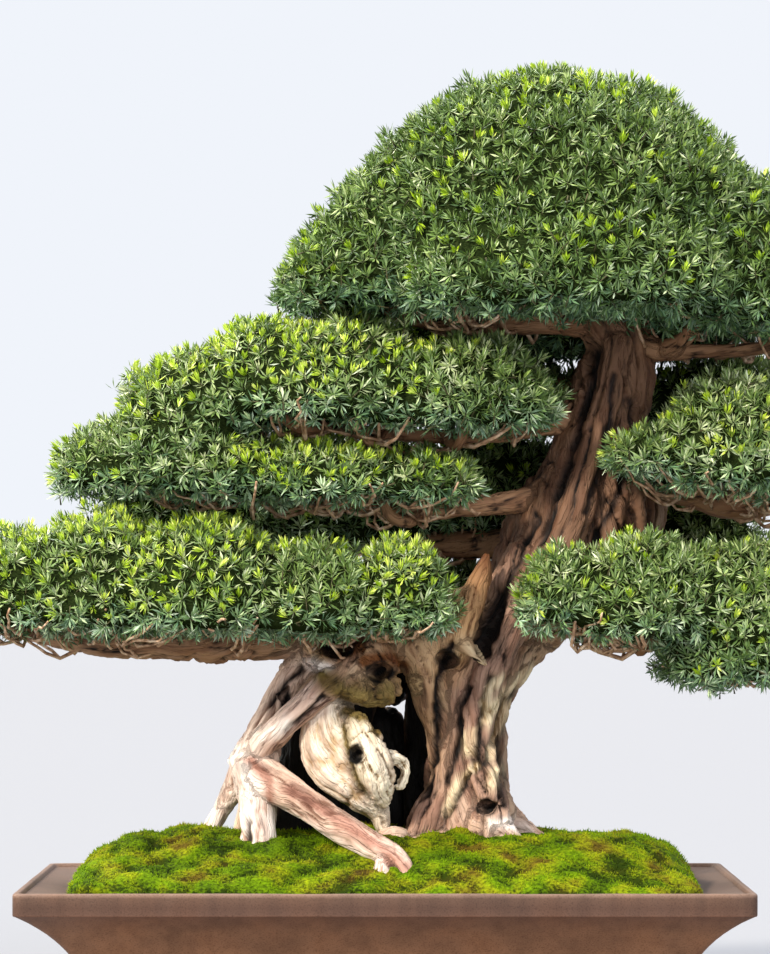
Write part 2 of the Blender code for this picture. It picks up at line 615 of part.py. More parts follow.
def make_screen(name, side):
    """A square of plastic mesh that keeps the soil in above a drain hole."""
    pitch = (SCREEN_SIDE - SCREEN_BAR) / SCREEN_CELLS
    lines = [0]
    for cell in range(SCREEN_CELLS):
        lines += [cell * pitch + SCREEN_BAR, (cell + 1) * pitch]
    lines.append(SCREEN_SIDE)
    bm = bmesh.new()
    grid = [[bm.verts.new(Vector((x, y, 0)) * MM) for y in lines] for x in lines]
    for i in range(len(lines) - 1):
        for j in range(len(lines) - 1):
            if i % 2 == 0 or j % 2 == 0:
                bm.faces.new((grid[i][j], grid[i + 1][j], grid[i + 1][j + 1], grid[i][j + 1]))
    screen = add_object(name, mesh_of(name, bm), "screen")
    add_modifier(screen, "SOLIDIFY", thickness=SCREEN_THICKNESS * MM, offset=1)
    floor = FOOT_HEIGHT + FLOOR_THICKNESS
    screen.location = (
        (side * DRAIN_SPACING / 2 - SCREEN_SIDE / 2) * MM,
        -SCREEN_SIDE / 2 * MM,
        floor * MM + GAP,
    )
    return screen


def make_soil(clearance, screens):
    rings = mound_grid()
    floor = FOOT_HEIGHT + FLOOR_THICKNESS
    mid_wall = (floor + POT_HEIGHT) / 2
    bm = bmesh.new()
    rim = layer(bm, rings, soil_top)
    levels = [rim]
    for z, chamfer in ((mid_wall, 0), (floor + FLOOR_CHAMFER + 1, 0), (floor + SOIL_GAP, FLOOR_CHAMFER + 1)):
        inset = inner_wall_inset(z) + chamfer + SOIL_GAP
        wide = (POT_LENGTH / 2 - inset) / MOUND_HALF_LENGTH
        deep = (POT_DEPTH / 2 - inset) / MOUND_HALF_DEPTH
        levels.append([bm.verts.new(Vector((x * wide, y * deep, z)) * MM) for x, y in rings[-1]])
    for low, high in zip(levels, levels[1:]):
        ring_faces(bm, low, high)
    bm.faces.new(levels[-1])
    soil = add_object("soil", mesh_of("soil", bm), "soil")
    bm = bmesh.new()
    for screen in screens:
        made = bmesh.ops.create_cube(bm, size=1)
        room = SCREEN_SIDE * MM + 2 * GAP
        bmesh.ops.scale(bm, vec=(room, room, 2 * (SCREEN_THICKNESS * MM + GAP)), verts=made["verts"])
        half = SCREEN_SIDE * MM / 2
        bmesh.ops.translate(bm, vec=screen.location + Vector((half, half, 0)), verts=made["verts"])
    boolean(soil, hidden(add_object("screen_room", mesh_of("screen_room", bm))), "DIFFERENCE")
    boolean(soil, clearance, "DIFFERENCE")
    smooth(soil, SOFT_EDGE)
    return soil


def make_moss(clearance):
    """A carpet of moss cushions that follows the soil, with holes where the roots come through."""
    draw = random.Random(SEED)
    cushions = [
        (
            draw.uniform(-MOUND_HALF_LENGTH, MOUND_HALF_LENGTH),
            draw.uniform(-MOUND_HALF_DEPTH, MOUND_HALF_DEPTH),
            draw.uniform(*CUSHION_SIZES),
        )
        for _ in range(CUSHION_COUNT)
    ]

    def moss_top(x, y):
        swell = 0
        for cx, cy, size in cushions:
            near = 1 - ((x - cx) ** 2 + (y - cy) ** 2) / (CUSHION_RADIUS * size) ** 2
            if near > 0:
                swell = max(swell, size * near)
        return soil_top(x, y) + MOSS_THICKNESS + CUSHION_HEIGHT * swell

    rings = mound_grid()
    bm = bmesh.new()
    low = layer(bm, rings, lambda x, y: soil_top(x, y) + GAP / MM)
    wide = 1 + MOSS_OVERHANG / MOUND_HALF_LENGTH
    deep = 1 + MOSS_OVERHANG / MOUND_HALF_DEPTH
    top_rings = [*rings[:-1], [(x * wide, y * deep) for x, y in rings[-1]]]
    high = layer(bm, top_rings, moss_top)
    ring_faces(bm, low, high)
    moss = add_object("moss", mesh_of("moss", bm), "moss")
    boolean(moss, clearance, "DIFFERENCE")
    smooth(moss, SOFT_EDGE)
    return moss


def make_core(name, domes):
    """The body of twigs and old needles inside a pad, smaller than the pad by the needles' reach."""
    sole = CROWN_SOLE_DEPTH if name == "foliage_crown" else SOLE_DEPTH
    bm = bmesh.new()
    for x, y, z, half_x, half_y, height in domes:
        made = bmesh.ops.create_icosphere(bm, subdivisions=4, radius=1)
        for v in made["verts"]:
            if v.co.z > 0:
                level = z + v.co.z * (height - NEEDLE_STANDS_OUT)
            else:
                level = z - (-v.co.z) ** SOLE_FULLNESS * (sole - NEEDLE_STANDS_OUT)
            wide, deep = v.co.x * (half_x - NEEDLE_STANDS_OUT), v.co.y * (half_y - NEEDLE_STANDS_OUT)
            v.co = Vector((x + wide, y + deep, level)) * MM
    core = add_object(name, mesh_of(name, bm), "needles")
    add_modifier(core, "REMESH", mode="VOXEL", voxel_size=PAD_VOXEL * MM)
    apply_modifiers(core)
    scale = 1 / (CLUMP_SIZE * MM)
    displace(core.data, lambda p: CLUMP_RELIEF * MM * noise.noise(p * scale))
    area = sum(p.area for p in core.data.polygons)
    faces = sum(len(p.vertices) - 2 for p in core.data.polygons)
    wanted = max(CORE_FACES_FEWEST, CORE_FACES_PER_M2 * area)
    add_modifier(core, "DECIMATE", ratio=min(1, wanted / faces), use_collapse_triangulate=True)
    apply_modifiers(core)
    return core


def tree_of(obj):
    bm = bmesh.new()
    bm.from_mesh(obj.data)
    tree = BVHTree.FromBMesh(bm)
    bm.free()
    return tree


def ring_round(vert):
    """The vertices round this one, in order, or None where the mesh isn't a plain fan."""
    links = {}
    for face in vert.link_faces:
        if len(face.verts) != 3:
            return None
        corners = [loop.vert for loop in face.loops]
        i = corners.index(vert)
        links[corners[(i + 1) % 3]] = corners[(i + 2) % 3]
    start = next(iter(links))
    ring = [start]
    while links.get(ring[-1]) not in (start, None):
        ring.append(links[ring[-1]])
        if len(ring) > len(links):
            return None
    return ring if len(ring) == len(links) else None


def has_room(vert, ring, wood_tree, own_tree, other_trees):
    """Whether a whorl of needles at this vertex stays clear of the wood and of the pads, its own too."""
    hollow = sum(((n.co - vert.co).dot(vert.normal) for n in ring), 0.0) / len(ring)
    if hollow > DEEPEST_HOLLOW * MM:
        return False
    reach = NEEDLE_LENGTH * MM
    if wood_tree.find_nearest(vert.co, reach + ROOM_TO_WOOD * MM)[0] is not None:
        return False
    for n in ring:
        way = (vert.normal + (n.co - vert.co).normalized() / 2).normalized()
        if own_tree.ray_cast(vert.co + way * MM, way, 2 * reach + ROOM_TO_PAD * MM)[0] is not None:
            return False
    return all(tree.find_nearest(vert.co, 2 * reach + ROOM_TO_PAD * MM)[0] is None for tree in other_trees)


def raise_tuft(bm, vert, ring, draw):
    """Replaces the fan of faces round a vertex by the lifted tip of a shoot, with a needle for each spoke."""
    normal = vert.normal.copy()
    centre = vert.co + normal * TUFT_LIFT * MM
    spokes = []
    for n in ring:
        flat = n.co - vert.co
        spokes.append((flat - normal * flat.dot(normal)).normalized())
    feet = [bm.verts.new(centre + spoke * TUFT_RADIUS * MM) for spoke in spokes]
    top = bm.verts.new(centre + normal * TUFT_RADIUS / 2 * MM)
    bmesh.ops.delete(bm, geom=[vert], context="VERTS")
    for i, spoke in enumerate(spokes):
        j = (i + 1) % len(ring)
        bm.faces.new((ring[i], ring[j], feet[j]))
        bm.faces.new((ring[i], feet[j], feet[i]))
        lean = math.radians(draw.uniform(*NEEDLE_LEANS))
        way = normal * math.cos(lean) + (spoke + spokes[j]).normalized() * math.sin(lean)
        tip = bm.verts.new(centre + way * NEEDLE_LENGTH * draw.uniform(*NEEDLE_LENGTHS) * MM)
        bm.faces.new((feet[i], feet[j], tip))
        bm.faces.new((feet[j], top, tip))
        bm.faces.new((top, feet[i], tip))


def add_tufts(core, wood_tree, own_tree, other_trees, draw):
    """Raises whorls of needles all over a pad, packed closely from one side to the other."""
    bm = bmesh.new()
    bm.from_mesh(core.data)
    bm.normal_update()
    fewest, most = NEEDLE_COUNTS
    free = list(bm.verts)
    taken = set()
    while free:
        vert = max(free, key=lambda v: sum(edge.other_vert(v) in taken for edge in v.link_edges))
        free.remove(vert)
        ring = ring_round(vert)
        if ring and fewest <= len(ring) <= most and has_room(vert, ring, wood_tree, own_tree, other_trees):
            taken.update(ring)
            free = [v for v in free if v not in taken]
            raise_tuft(bm, vert, ring, draw)
    bm.to_mesh(core.data)
    bm.free()
    core.data.update()


def make_foliage(wood, clearance):
    draw = random.Random(SEED)
    cores = [make_core(name, domes) for name, domes in PADS.items()]
    trees = [tree_of(core) for core in cores]
    wood_tree = tree_of(wood)
    for core, own in zip(cores, trees):
        add_tufts(core, wood_tree, own, [tree for tree in trees if tree is not own], draw)
        boolean(core, clearance, "DIFFERENCE")
    return cores


def main():
    clear_scene()
    wood = make_wood()
    clearance = make_clearance(wood)
    make_pot()
    screens = [make_screen("drain_screen_left", -1), make_screen("drain_screen_right", 1)]
    make_soil(clearance, screens)
    make_moss(clearance)
    make_foliage(wood, clearance)


main()
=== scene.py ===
"""The looks of an old yew bonsai in a flared rectangular pot: stoneware, moss, bark, bare wood, needles.

Metres, +Z up, +X to the viewer's right, -Y towards the viewer. Tables of sizes are in millimetres.
"""

import math
import random
from itertools import product

import bmesh
import bpy
import numpy as np
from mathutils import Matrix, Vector
from mathutils.bvhtree import BVHTree


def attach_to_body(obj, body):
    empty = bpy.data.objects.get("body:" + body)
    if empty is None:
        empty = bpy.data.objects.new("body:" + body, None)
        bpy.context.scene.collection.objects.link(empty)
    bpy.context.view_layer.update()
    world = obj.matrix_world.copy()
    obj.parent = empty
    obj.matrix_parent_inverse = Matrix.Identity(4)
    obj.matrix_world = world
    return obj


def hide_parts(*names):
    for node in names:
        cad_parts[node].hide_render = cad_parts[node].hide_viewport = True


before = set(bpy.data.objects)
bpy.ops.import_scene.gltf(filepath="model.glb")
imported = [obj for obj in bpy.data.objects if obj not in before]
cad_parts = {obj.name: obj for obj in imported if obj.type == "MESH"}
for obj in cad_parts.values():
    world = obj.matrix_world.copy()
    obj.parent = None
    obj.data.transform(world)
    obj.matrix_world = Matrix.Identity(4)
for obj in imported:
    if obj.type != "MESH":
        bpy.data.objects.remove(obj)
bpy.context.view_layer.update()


# The studio: a pale floor that runs out to a plain pale background, a low key light from the left in front,
# soft light from above and the right, weaker lights from behind on both sides, and a camera four metres away,
# level with the branches.
MM = 0.001
CAMERA_PLACE = (0, -3.96, 0.363)
CAMERA_TILT = 1.33  # degrees above the horizon
CAMERA_LENS = 175.8  # mm, on a frame 36 mm high
BACKGROUND = "#f0f4fb"
SKY_TINT = "#f2f5ff"
SKY_LIGHT = 0.55
# Each sun: the way to it, its strength, how many degrees it is across, and its colour.
SUNS = {
    "key": ((-0.58, -0.66, 0.52), 4.2, 8, "#fff6e8"),
    "overhead": ((-0.45, -0.15, 1.00), 3.4, 35, "#fbfcff"),
    "fill": ((0.55, -0.78, 0.42), 1.5, 45, "#f6f9ff"),
    "rim_left": ((-0.78, 0.52, 0.50), 2.0, 18, "#fffdf0"),
    "rim_right": ((0.66, 0.50, 0.62), 1.2, 20, "#f4f8ff"),
}
FLOOR_RADIUS = 40
FLOOR_COLOUR = "#8e8f93"


def linear(code):
    """An sRGB hex colour as the linear RGBA that shaders take."""
    parts = [int(code[i : i + 2], 16) / 255 for i in (1, 3, 5)]
    return (*[c / 12.92 if c <= 0.04045 else ((c + 0.055) / 1.055) ** 2.4 for c in parts], 1.0)


def add_node(tree, kind, inputs=None, output=0, stops=None, **settings):
    """Adds a node and gives back one of its outputs. An input is a value, or an output to link to it."""
    made = tree.nodes.new("ShaderNode" + kind)
    for name, value in settings.items():
        setattr(made, name, value)
    for name, value in (inputs or {}).items():
        if isinstance(value, bpy.types.NodeSocket):
            tree.links.new(value, made.inputs[name])
        else:
            made.inputs[name].default_value = value
    if stops:
        ramp = made.color_ramp
        while len(ramp.elements) < len(stops):
            ramp.elements.new(0.5)
        for element, (place, colour) in zip(ramp.elements, stops):
            element.position = place
            element.color = linear(colour)
    return made.outputs[output]


def new_material(name, **sockets):
    """A Principled material with these values on the shader's own sockets, and its node tree."""
    made = bpy.data.materials.new(name)
    made.use_nodes = True
    for socket, value in sockets.items():
        made.node_tree.nodes["Principled BSDF"].inputs[socket.replace("_", " ")].default_value = value
    return made, made.node_tree


def wire(tree, colour, relief=None, strength=1.0, distance=0.0):
    """Links a colour to the material's shader, and relief this many millimetres deep if it has any."""
    sockets = tree.nodes["Principled BSDF"].inputs
    tree.links.new(colour, sockets["Base Color"])
    if relief is not None:
        bump = {"Height": relief, "Strength": strength, "Distance": distance * MM}
        tree.links.new(add_node(tree, "Bump", bump), sockets["Normal"])


def link_object(name, mesh):
    made = bpy.data.objects.new(name, mesh)
    bpy.context.scene.collection.objects.link(made)
    return made


def add_sun(name, towards, strength, softness, colour):
    lamp = bpy.data.lights.new(name, "SUN")
    lamp.energy = strength
    lamp.angle = math.radians(softness)
    lamp.color = linear(colour)[:3]
    made = link_object(name, lamp)
    made.rotation_euler = Vector(towards).to_track_quat("Z", "Y").to_euler()


lens = bpy.data.cameras.new("camera")
lens.sensor_fit = "VERTICAL"
lens.sensor_height = 36
lens.lens = CAMERA_LENS
camera = link_object("camera", lens)
camera.location = CAMERA_PLACE
camera.rotation_euler = (math.radians(90 + CAMERA_TILT), 0, 0)
bpy.context.scene.camera = camera
bpy.context.scene.view_settings.view_transform = "Standard"

for name, (towards, strength, softness, colour) in SUNS.items():
    add_sun(name, towards, strength, softness, colour)

sky = bpy.data.worlds.new("studio_sky")
sky.use_nodes = True
bpy.context.scene.world = sky
tree = sky.node_tree
seen = add_node(tree, "LightPath", output="Is Camera Ray")
ambient = add_node(tree, "Background", {"Color": linear(SKY_TINT), "Strength": SKY_LIGHT})
behind = add_node(tree, "Background", {"Color": linear(BACKGROUND), "Strength": 1.0})
both = add_node(tree, "MixShader", {0: seen, 1: ambient, 2: behind})
tree.links.new(both, tree.nodes["World Output"].inputs[0])

bm = bmesh.new()
bmesh.ops.create_circle(bm, cap_ends=True, segments=64, radius=FLOOR_RADIUS)
floor_mesh = bpy.data.meshes.new("floor")
bm.to_mesh(floor_mesh)
bm.free()
floor = link_object("floor", floor_mesh)
paper, _ = new_material("pale_paper_floor", Base_Color=linear(FLOOR_COLOUR), Roughness=0.9)
floor.data.materials.append(paper)


# The pot: one piece of unglazed brown stoneware, pressed in a mould, its edges wiped round before firing.
# Years of water and handling left the rim and the ledge paler and the walls faintly streaked; the paleness of
# the rim's top edge and of faces that look up is also painted sky light and highlight.
POT_LENGTH = 600
POT_DEPTH = 420
POT_HEIGHT = 115
BAND_HEIGHT = 19
BEAD_WIDTH = 6
BEAD_RISE = 3
LEDGE_WIDTH = 38
LEDGE_DROP = 5
COVE_RADIUS = 100
COVE_CENTRE_OUT = 38
COVE_CENTRE_HEIGHT = 3
COVE_STEPS = 16
UNDERCUT = 2.5  # of the shadow line under the band
UNDERCUT_FROM = 84  # the height at which the undercut starts
FOOT_HEIGHT = 12
FOOT_LENGTH = 62
FOOT_DEPTH = 44
FOOT_WIDTH = 16
FOOT_INSET = 3
FOOT_SINK = 3
FOOT_SPLAY = 1  # how much wider it is at its top, on each side
FOOT_EDGE = 1.2
FLOOR_THICKNESS = 12
WALL_AT_FLOOR = 13
FLOOR_FILLET = 5
POT_EDGE = 2  # the radius of its rounded edges
BAND_EDGE = 1.4  # the same at the foot of the band
EDGE_STEPS = 3
CORNER_RADIUS = 7
CORNER_STEPS = 6
SIDE_STEPS = (40, 28)  # along the long and the short sides
DRAIN_RADIUS = 15
DRAIN_SPACING = 220
HAND_PRESSED = ((0.45, 60), (0.15, 21))  # how far the walls wander, and over what length
SHARP_FROM = 38  # edges that turn by more degrees than this stay crisp


def cove_inset(z):
    """How far the outer wall stands in from the rim's edge at this height, on the concave sweep."""
    inset = math.sqrt(COVE_RADIUS**2 - (z - COVE_CENTRE_HEIGHT) ** 2) - COVE_CENTRE_OUT
    undercut = max(0, z - UNDERCUT_FROM) / (POT_HEIGHT - BAND_HEIGHT - UNDERCUT_FROM)
    return inset + UNDERCUT * undercut**2


def rounded_edge(inset, z, start, end, radius=POT_EDGE):
    """Points of a profile round an edge of this radius, from one angle to another, in degrees."""
    angles = [math.radians(start + (end - start) * k / EDGE_STEPS) for k in range(EDGE_STEPS + 1)]
    return [(inset - radius * math.cos(a), z + radius * math.sin(a)) for a in angles]


def rounded_rectangle(half_x, half_y):
    """Points round a rectangle with round corners, anticlockwise, its sides cut into short steps."""
    corners = []
    for turn, (sx, sy) in enumerate(((1, 1), (-1, 1), (-1, -1), (1, -1))):
        angles = [math.pi / 2 * (turn + step / CORNER_STEPS) for step in range(CORNER_STEPS + 1)]
        x, y = sx * (half_x - CORNER_RADIUS), sy * (half_y - CORNER_RADIUS)
        corners.append([(x + CORNER_RADIUS * math.cos(a), y + CORNER_RADIUS * math.sin(a)) for a in angles])
    made = []
    for turn, corner in enumerate(corners):
        steps = SIDE_STEPS[turn % 2]
        (ax, ay), (bx, by) = corner[-1], corners[(turn + 1) % 4][0]
        side = [(ax + (bx - ax) * k / steps, ay + (by - ay) * k / steps) for k in range(1, steps)]
        made += corner + side
    return made


def quads_between(low, high, count):
    """Quads between two rings of this many points, which start at these numbers."""
    return [(low + i, low + (i + 1) % count, high + (i + 1) % count, high + i) for i in range(count)]


def ring_faces(bm, low, high):
    for quad in quads_between(0, len(low), len(low)):
        bm.faces.new([(low + high)[k] for k in quad])


def mesh_of(name, bm):
    bmesh.ops.recalc_face_normals(bm, faces=bm.faces)
    mesh = bpy.data.meshes.new(name)
    bm.to_mesh(mesh)
    bm.free()
    return mesh


def add_modifier(obj, kind, **settings):
    modifier = obj.modifiers.new(kind.lower(), kind)
    for key, value in settings.items():
        setattr(modifier, key, value)


def evaluated(obj):
    """The mesh that the object's modifiers make. The object is taken out of the scene."""
    graph = bpy.context.evaluated_depsgraph_get()
    mesh = bpy.data.meshes.new_from_object(obj.evaluated_get(graph), depsgraph=graph)
    bpy.data.objects.remove(obj)
    return mesh


def cut(mesh, other, operation, solver="EXACT"):
    """The mesh that a Boolean makes of these two."""
    body, tool = link_object("body", mesh), link_object("tool", other)
    add_modifier(body, "BOOLEAN", object=tool, operation=operation, solver=solver)
    made = evaluated(body)
    bpy.data.objects.remove(tool)
    return made


def as_piece(name, mesh, *nodes, slot):
    """Puts a finished mesh in the scene as a piece that stands for these nodes."""
    mesh.name = name
    piece = link_object(name, mesh)
    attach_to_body(piece, "root")
    if nodes:
        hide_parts(*nodes)
    return piece


def noise_at(points, seed=0):
    """Smooth noise from -1 to 1 at each row of points, with one cell a unit."""
    cell = np.floor(points).astype(np.int64)
    part = points - cell
    ease = part * part * (3 - 2 * part)
    total = np.zeros(len(points))
    for corner in np.ndindex(2, 2, 2):
        c = cell + corner
        h = (c[:, 0] * 73856093) ^ (c[:, 1] * 19349663) ^ (c[:, 2] * 83492791) ^ (seed * 2654435761)
        h = ((h ^ (h >> 13)) * 1274126177) & 0x7FFFFFFF
        value = ((h ^ (h >> 16)) & 0xFFFF) / 32767.5 - 1
        total += value * np.prod(np.where(corner, ease, 1 - ease), axis=1)
    return total


def unit(vectors):
    return vectors / np.maximum(np.linalg.norm(vectors, axis=-1, keepdims=True), 1e-9)


def mesh_from_arrays(name, points, triangles, finishes, kinds=None):
    """A mesh of triangles, whose kinds are the numbers of their materials."""
    mesh = bpy.data.meshes.new(name)
    mesh.vertices.add(len(points))
    mesh.vertices.foreach_set("co", np.ascontiguousarray(points, np.float32).ravel())
    mesh.loops.add(3 * len(triangles))
    mesh.loops.foreach_set("vertex_index", np.ascontiguousarray(triangles, np.int32).ravel())
    mesh.polygons.add(len(triangles))
    mesh.polygons.foreach_set("loop_start", np.arange(0, 3 * len(triangles), 3, dtype=np.int32))
    mesh.update(calc_edges=True)
    for finish in finishes:
        mesh.materials.append(finish)
    if kinds is not None:
        mesh.polygons.foreach_set("material_index", np.ascontiguousarray(kinds, np.int32))
    return mesh


def arrays_of(mesh):
    """The points, triangles and point normals of a mesh."""
    mesh.calc_loop_triangles()
    points = np.empty(3 * len(mesh.vertices), np.float32)
    mesh.vertices.foreach_get("co", points)
    normals = np.empty(3 * len(mesh.vertices), np.float32)
    mesh.vertices.foreach_get("normal", normals)
    triangles = np.empty(3 * len(mesh.loop_triangles), np.int32)
    mesh.loop_triangles.foreach_get("vertices", triangles)
    points, normals = (values.reshape(-1, 3).astype(float) for values in (points, normals))
    return points, triangles.reshape(-1, 3), normals


def pot_profile():
    """The pot's section as (inset from the rim's edge, height), from the base up and down the inside."""
    band_foot = POT_HEIGHT - BAND_HEIGHT
    ledge_outer = POT_HEIGHT - BEAD_RISE
    ledge_inner = ledge_outer - LEDGE_DROP
    floor = FOOT_HEIGHT + FLOOR_THICKNESS
    base = cove_inset(FOOT_HEIGHT)
    profile = [(base + 2 * POT_EDGE, FOOT_HEIGHT)]
    profile += rounded_edge(base + POT_EDGE, FOOT_HEIGHT + POT_EDGE, -90, 0)
    low = FOOT_HEIGHT + 2 * POT_EDGE
    heights = [low + (band_foot - POT_EDGE / 2 - low) * k / COVE_STEPS for k in range(COVE_STEPS + 1)]
    profile += [(cove_inset(z), z) for z in heights]
    profile += rounded_edge(BAND_EDGE, band_foot + BAND_EDGE, -90, 0, BAND_EDGE)
    profile += [(0, (band_foot + POT_HEIGHT) / 2)]
    profile += rounded_edge(POT_EDGE, POT_HEIGHT - POT_EDGE, 0, 90)
    profile += rounded_edge(BEAD_WIDTH - POT_EDGE, POT_HEIGHT - POT_EDGE, 90, 165)
    profile += [(BEAD_WIDTH + 1, ledge_outer - 0.2)]
    profile += [(BEAD_WIDTH + (LEDGE_WIDTH - BEAD_WIDTH) / 2, (ledge_outer + ledge_inner) / 2)]
    profile += rounded_edge(LEDGE_WIDTH - POT_EDGE, ledge_inner - POT_EDGE, 90, 180)
    inner = cove_inset(floor) + WALL_AT_FLOOR
    profile += [((LEDGE_WIDTH + inner) / 2, (ledge_inner + floor) / 2)]
    profile += [(inner, floor + FLOOR_FILLET), (inner + FLOOR_FILLET, floor)]
    return profile


bm = bmesh.new()
rings = []
for inset, z in pot_profile():
    ring = rounded_rectangle(POT_LENGTH / 2 - inset, POT_DEPTH / 2 - inset)
    rings.append([bm.verts.new(Vector((x, y, z)) * MM) for x, y in ring])
for low, high in zip(rings, rings[1:]):
    ring_faces(bm, low, high)
bm.faces.new(rings[0][::-1])
bm.faces.new(rings[-1])
pot_mesh = mesh_of("pot", bm)
points, _, normals = arrays_of(pot_mesh)
wander = sum(reach * noise_at(points / (length * MM), 5) for reach, length in HAND_PRESSED)
points -= normals * (np.abs(wander) * MM)[:, None]
pot_mesh.vertices.foreach_set("co", points.astype(np.float32).ravel())

bm = bmesh.new()
base_x = POT_LENGTH / 2 - cove_inset(FOOT_HEIGHT) - FOOT_INSET
base_y = POT_DEPTH / 2 - cove_inset(FOOT_HEIGHT) - FOOT_INSET
inner_x, inner_y = base_x - FOOT_WIDTH, base_y - FOOT_WIDTH
outline = [(base_x, base_y), (base_x - FOOT_LENGTH, base_y), (base_x - FOOT_LENGTH, inner_y)]
outline += [(inner_x, inner_y), (inner_x, base_y - FOOT_DEPTH), (base_x, base_y - FOOT_DEPTH)]
for sx in (-1, 1):
    for sy in (-1, 1):
        low = [bm.verts.new(Vector((sx * x, sy * y, 0)) * MM) for x, y in outline]
        wider = [(sx * (x + FOOT_SPLAY), sy * (y + FOOT_SPLAY)) for x, y in outline]
        high = [bm.verts.new(Vector((x, y, FOOT_HEIGHT + FOOT_SINK)) * MM) for x, y in wider]
        ring_faces(bm, low, high)
        bm.faces.new(low[::-1])
        bm.faces.new(high)
feet = link_object("feet", mesh_of("feet", bm))
add_modifier(feet, "BEVEL", width=FOOT_EDGE * MM, segments=2, limit_method="ANGLE")
pot_mesh = cut(pot_mesh, evaluated(feet), "UNION")
bm = bmesh.new()
for side in (-1, 1):
    size = {"radius1": DRAIN_RADIUS * MM, "radius2": DRAIN_RADIUS * MM, "depth": 3 * FLOOR_THICKNESS * MM}
    made = bmesh.ops.create_cone(bm, cap_ends=True, segments=32, **size)
    place = Vector((side * DRAIN_SPACING / 2, 0, FOOT_HEIGHT + FLOOR_THICKNESS / 2)) * MM
    bmesh.ops.translate(bm, vec=place, verts=made["verts"])
pot_mesh = cut(pot_mesh, mesh_of("drains", bm), "DIFFERENCE")
pot_mesh.shade_smooth()
pot_mesh.set_sharp_from_angle(angle=math.radians(SHARP_FROM))

# Unglazed stoneware: iron-rich clay fired brown, matte with a faint shine where it is handled. The clay is
# gritty, its colour clouds over a few centimetres, and rain has drawn faint streaks down the walls.
CLOUD_SIZE = 45
GRIT_SIZE = 1.4
RAIN_STREAKS = (90, 90, 7)  # to a metre, across and down the wall
LAYER_SHARE = 0.75
stoneware, tree = new_material("unglazed_stoneware", Roughness=0.62, Specular_IOR_Level=0.35)
place = add_node(tree, "TexCoord", output="Object")
height = add_node(tree, "SeparateXYZ", {0: place}, "Z")
height = add_node(tree, "MapRange", {0: height, 1: 0.0, 2: POT_HEIGHT * MM, 3: 0.0, 4: 1.0})
# The palest top stop, on the rim's upper edge, is partly wear and partly a painted highlight.
clay = add_node(
    tree, "ValToRGB", {0: height},
    stops=[(0.0, "#876349"), (0.70, "#956d50"), (0.835, "#7d5a46"), (0.85, "#634a3d"), (0.90, "#584033"),
           (0.965, "#604839"), (0.985, "#836b5d")],
)
cloud = add_node(tree, "TexNoise", {"Vector": place, "Scale": 1 / (CLOUD_SIZE * MM), "Detail": 3.0})
cloud = add_node(tree, "ValToRGB", {0: cloud}, stops=[(0.3, "#c9c2bd"), (0.5, "#f2ebe6"), (0.7, "#fff1e2")])
rain = add_node(tree, "VectorMath", {0: place, 1: RAIN_STREAKS}, operation="MULTIPLY")
rain = add_node(tree, "TexNoise", {"Vector": rain, "Scale": 1.0, "Detail": 4.0})
rain = add_node(tree, "ValToRGB", {0: rain}, stops=[(0.35, "#e0dad6"), (0.55, "#f7f4f2"), (0.75, "#ffffff")])
grit = add_node(tree, "TexNoise", {"Vector": place, "Scale": 1 / (GRIT_SIZE * MM), "Detail": 2.0})
speck = add_node(tree, "ValToRGB", {0: grit}, stops=[(0.34, "#c4bcb5"), (0.46, "#f4f0ec"), (0.7, "#ffffff")])
for layer in (cloud, rain, speck):
    layered = {0: LAYER_SHARE, 6: clay, 7: layer}
    clay = add_node(tree, "Mix", layered, 2, data_type="RGBA", blend_type="MULTIPLY")
# Faces that look up are mixed towards a pale dusty colour: partly dust and lime bloom, partly painted light
# from the sky.
upward = add_node(tree, "NewGeometry", output="Normal")
upward = add_node(tree, "SeparateXYZ", {0: upward}, "Z")
dust_and_painted_sky_light = add_node(tree, "ValToRGB", {0: upward}, stops=[(0.6, "#000000"), (0.95, "#a0a0a0")])
clay = add_node(tree, "Mix", {0: dust_and_painted_sky_light, 6: clay, 7: linear("#8e7b6e")}, 2, data_type="RGBA")
wire(tree, clay, grit, 0.5, 0.25)
pot_mesh.materials.clear()
pot_mesh.materials.append(stoneware)
as_piece("stoneware_pot", pot_mesh, "pot", slot="pot")


# Under the surface: a square of black polyethylene mesh over each drain hole keeps the soil in, and the
# soil is granules of fired clay and pumice, dark and damp. Both are the CAD's own solids.
MESH_GRAIN = 2
screen_plastic, tree = new_material("black_polyethylene", Roughness=0.38, Specular_IOR_Level=0.45)
grain = add_node(tree, "TexNoise", {"Scale": 1 / (MESH_GRAIN * MM), "Detail": 2.0})
wire(tree, add_node(tree, "ValToRGB", {0: grain}, stops=[(0.3, "#17181a"), (0.7, "#26282b")]))
for name in ("drain_screen_left", "drain_screen_right"):
    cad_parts[name].data.materials.clear()
    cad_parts[name].data.materials.append(screen_plastic)

GRANULE = 4.5
granules, tree = new_material("clay_granule_soil", Roughness=0.9)
place = add_node(tree, "TexCoord", output="Object")
cells = add_node(tree, "TexVoronoi", {"Vector": place, "Scale": 1 / (GRANULE * MM)}, "Distance")
kind = add_node(tree, "SeparateColor", {0: cells.node.outputs["Color"]}, "Red")
colour = add_node(
    tree, "ValToRGB", {0: kind},
    stops=[(0.0, "#3a2a1e"), (0.4, "#5b4130"), (0.7, "#7c5a3e"), (0.93, "#a58a68"), (1.0, "#c9bca6")],
)
wire(tree, colour, cells, 0.9, -2)
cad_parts["soil"].data.materials.clear()
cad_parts["soil"].data.materials.append(granules)


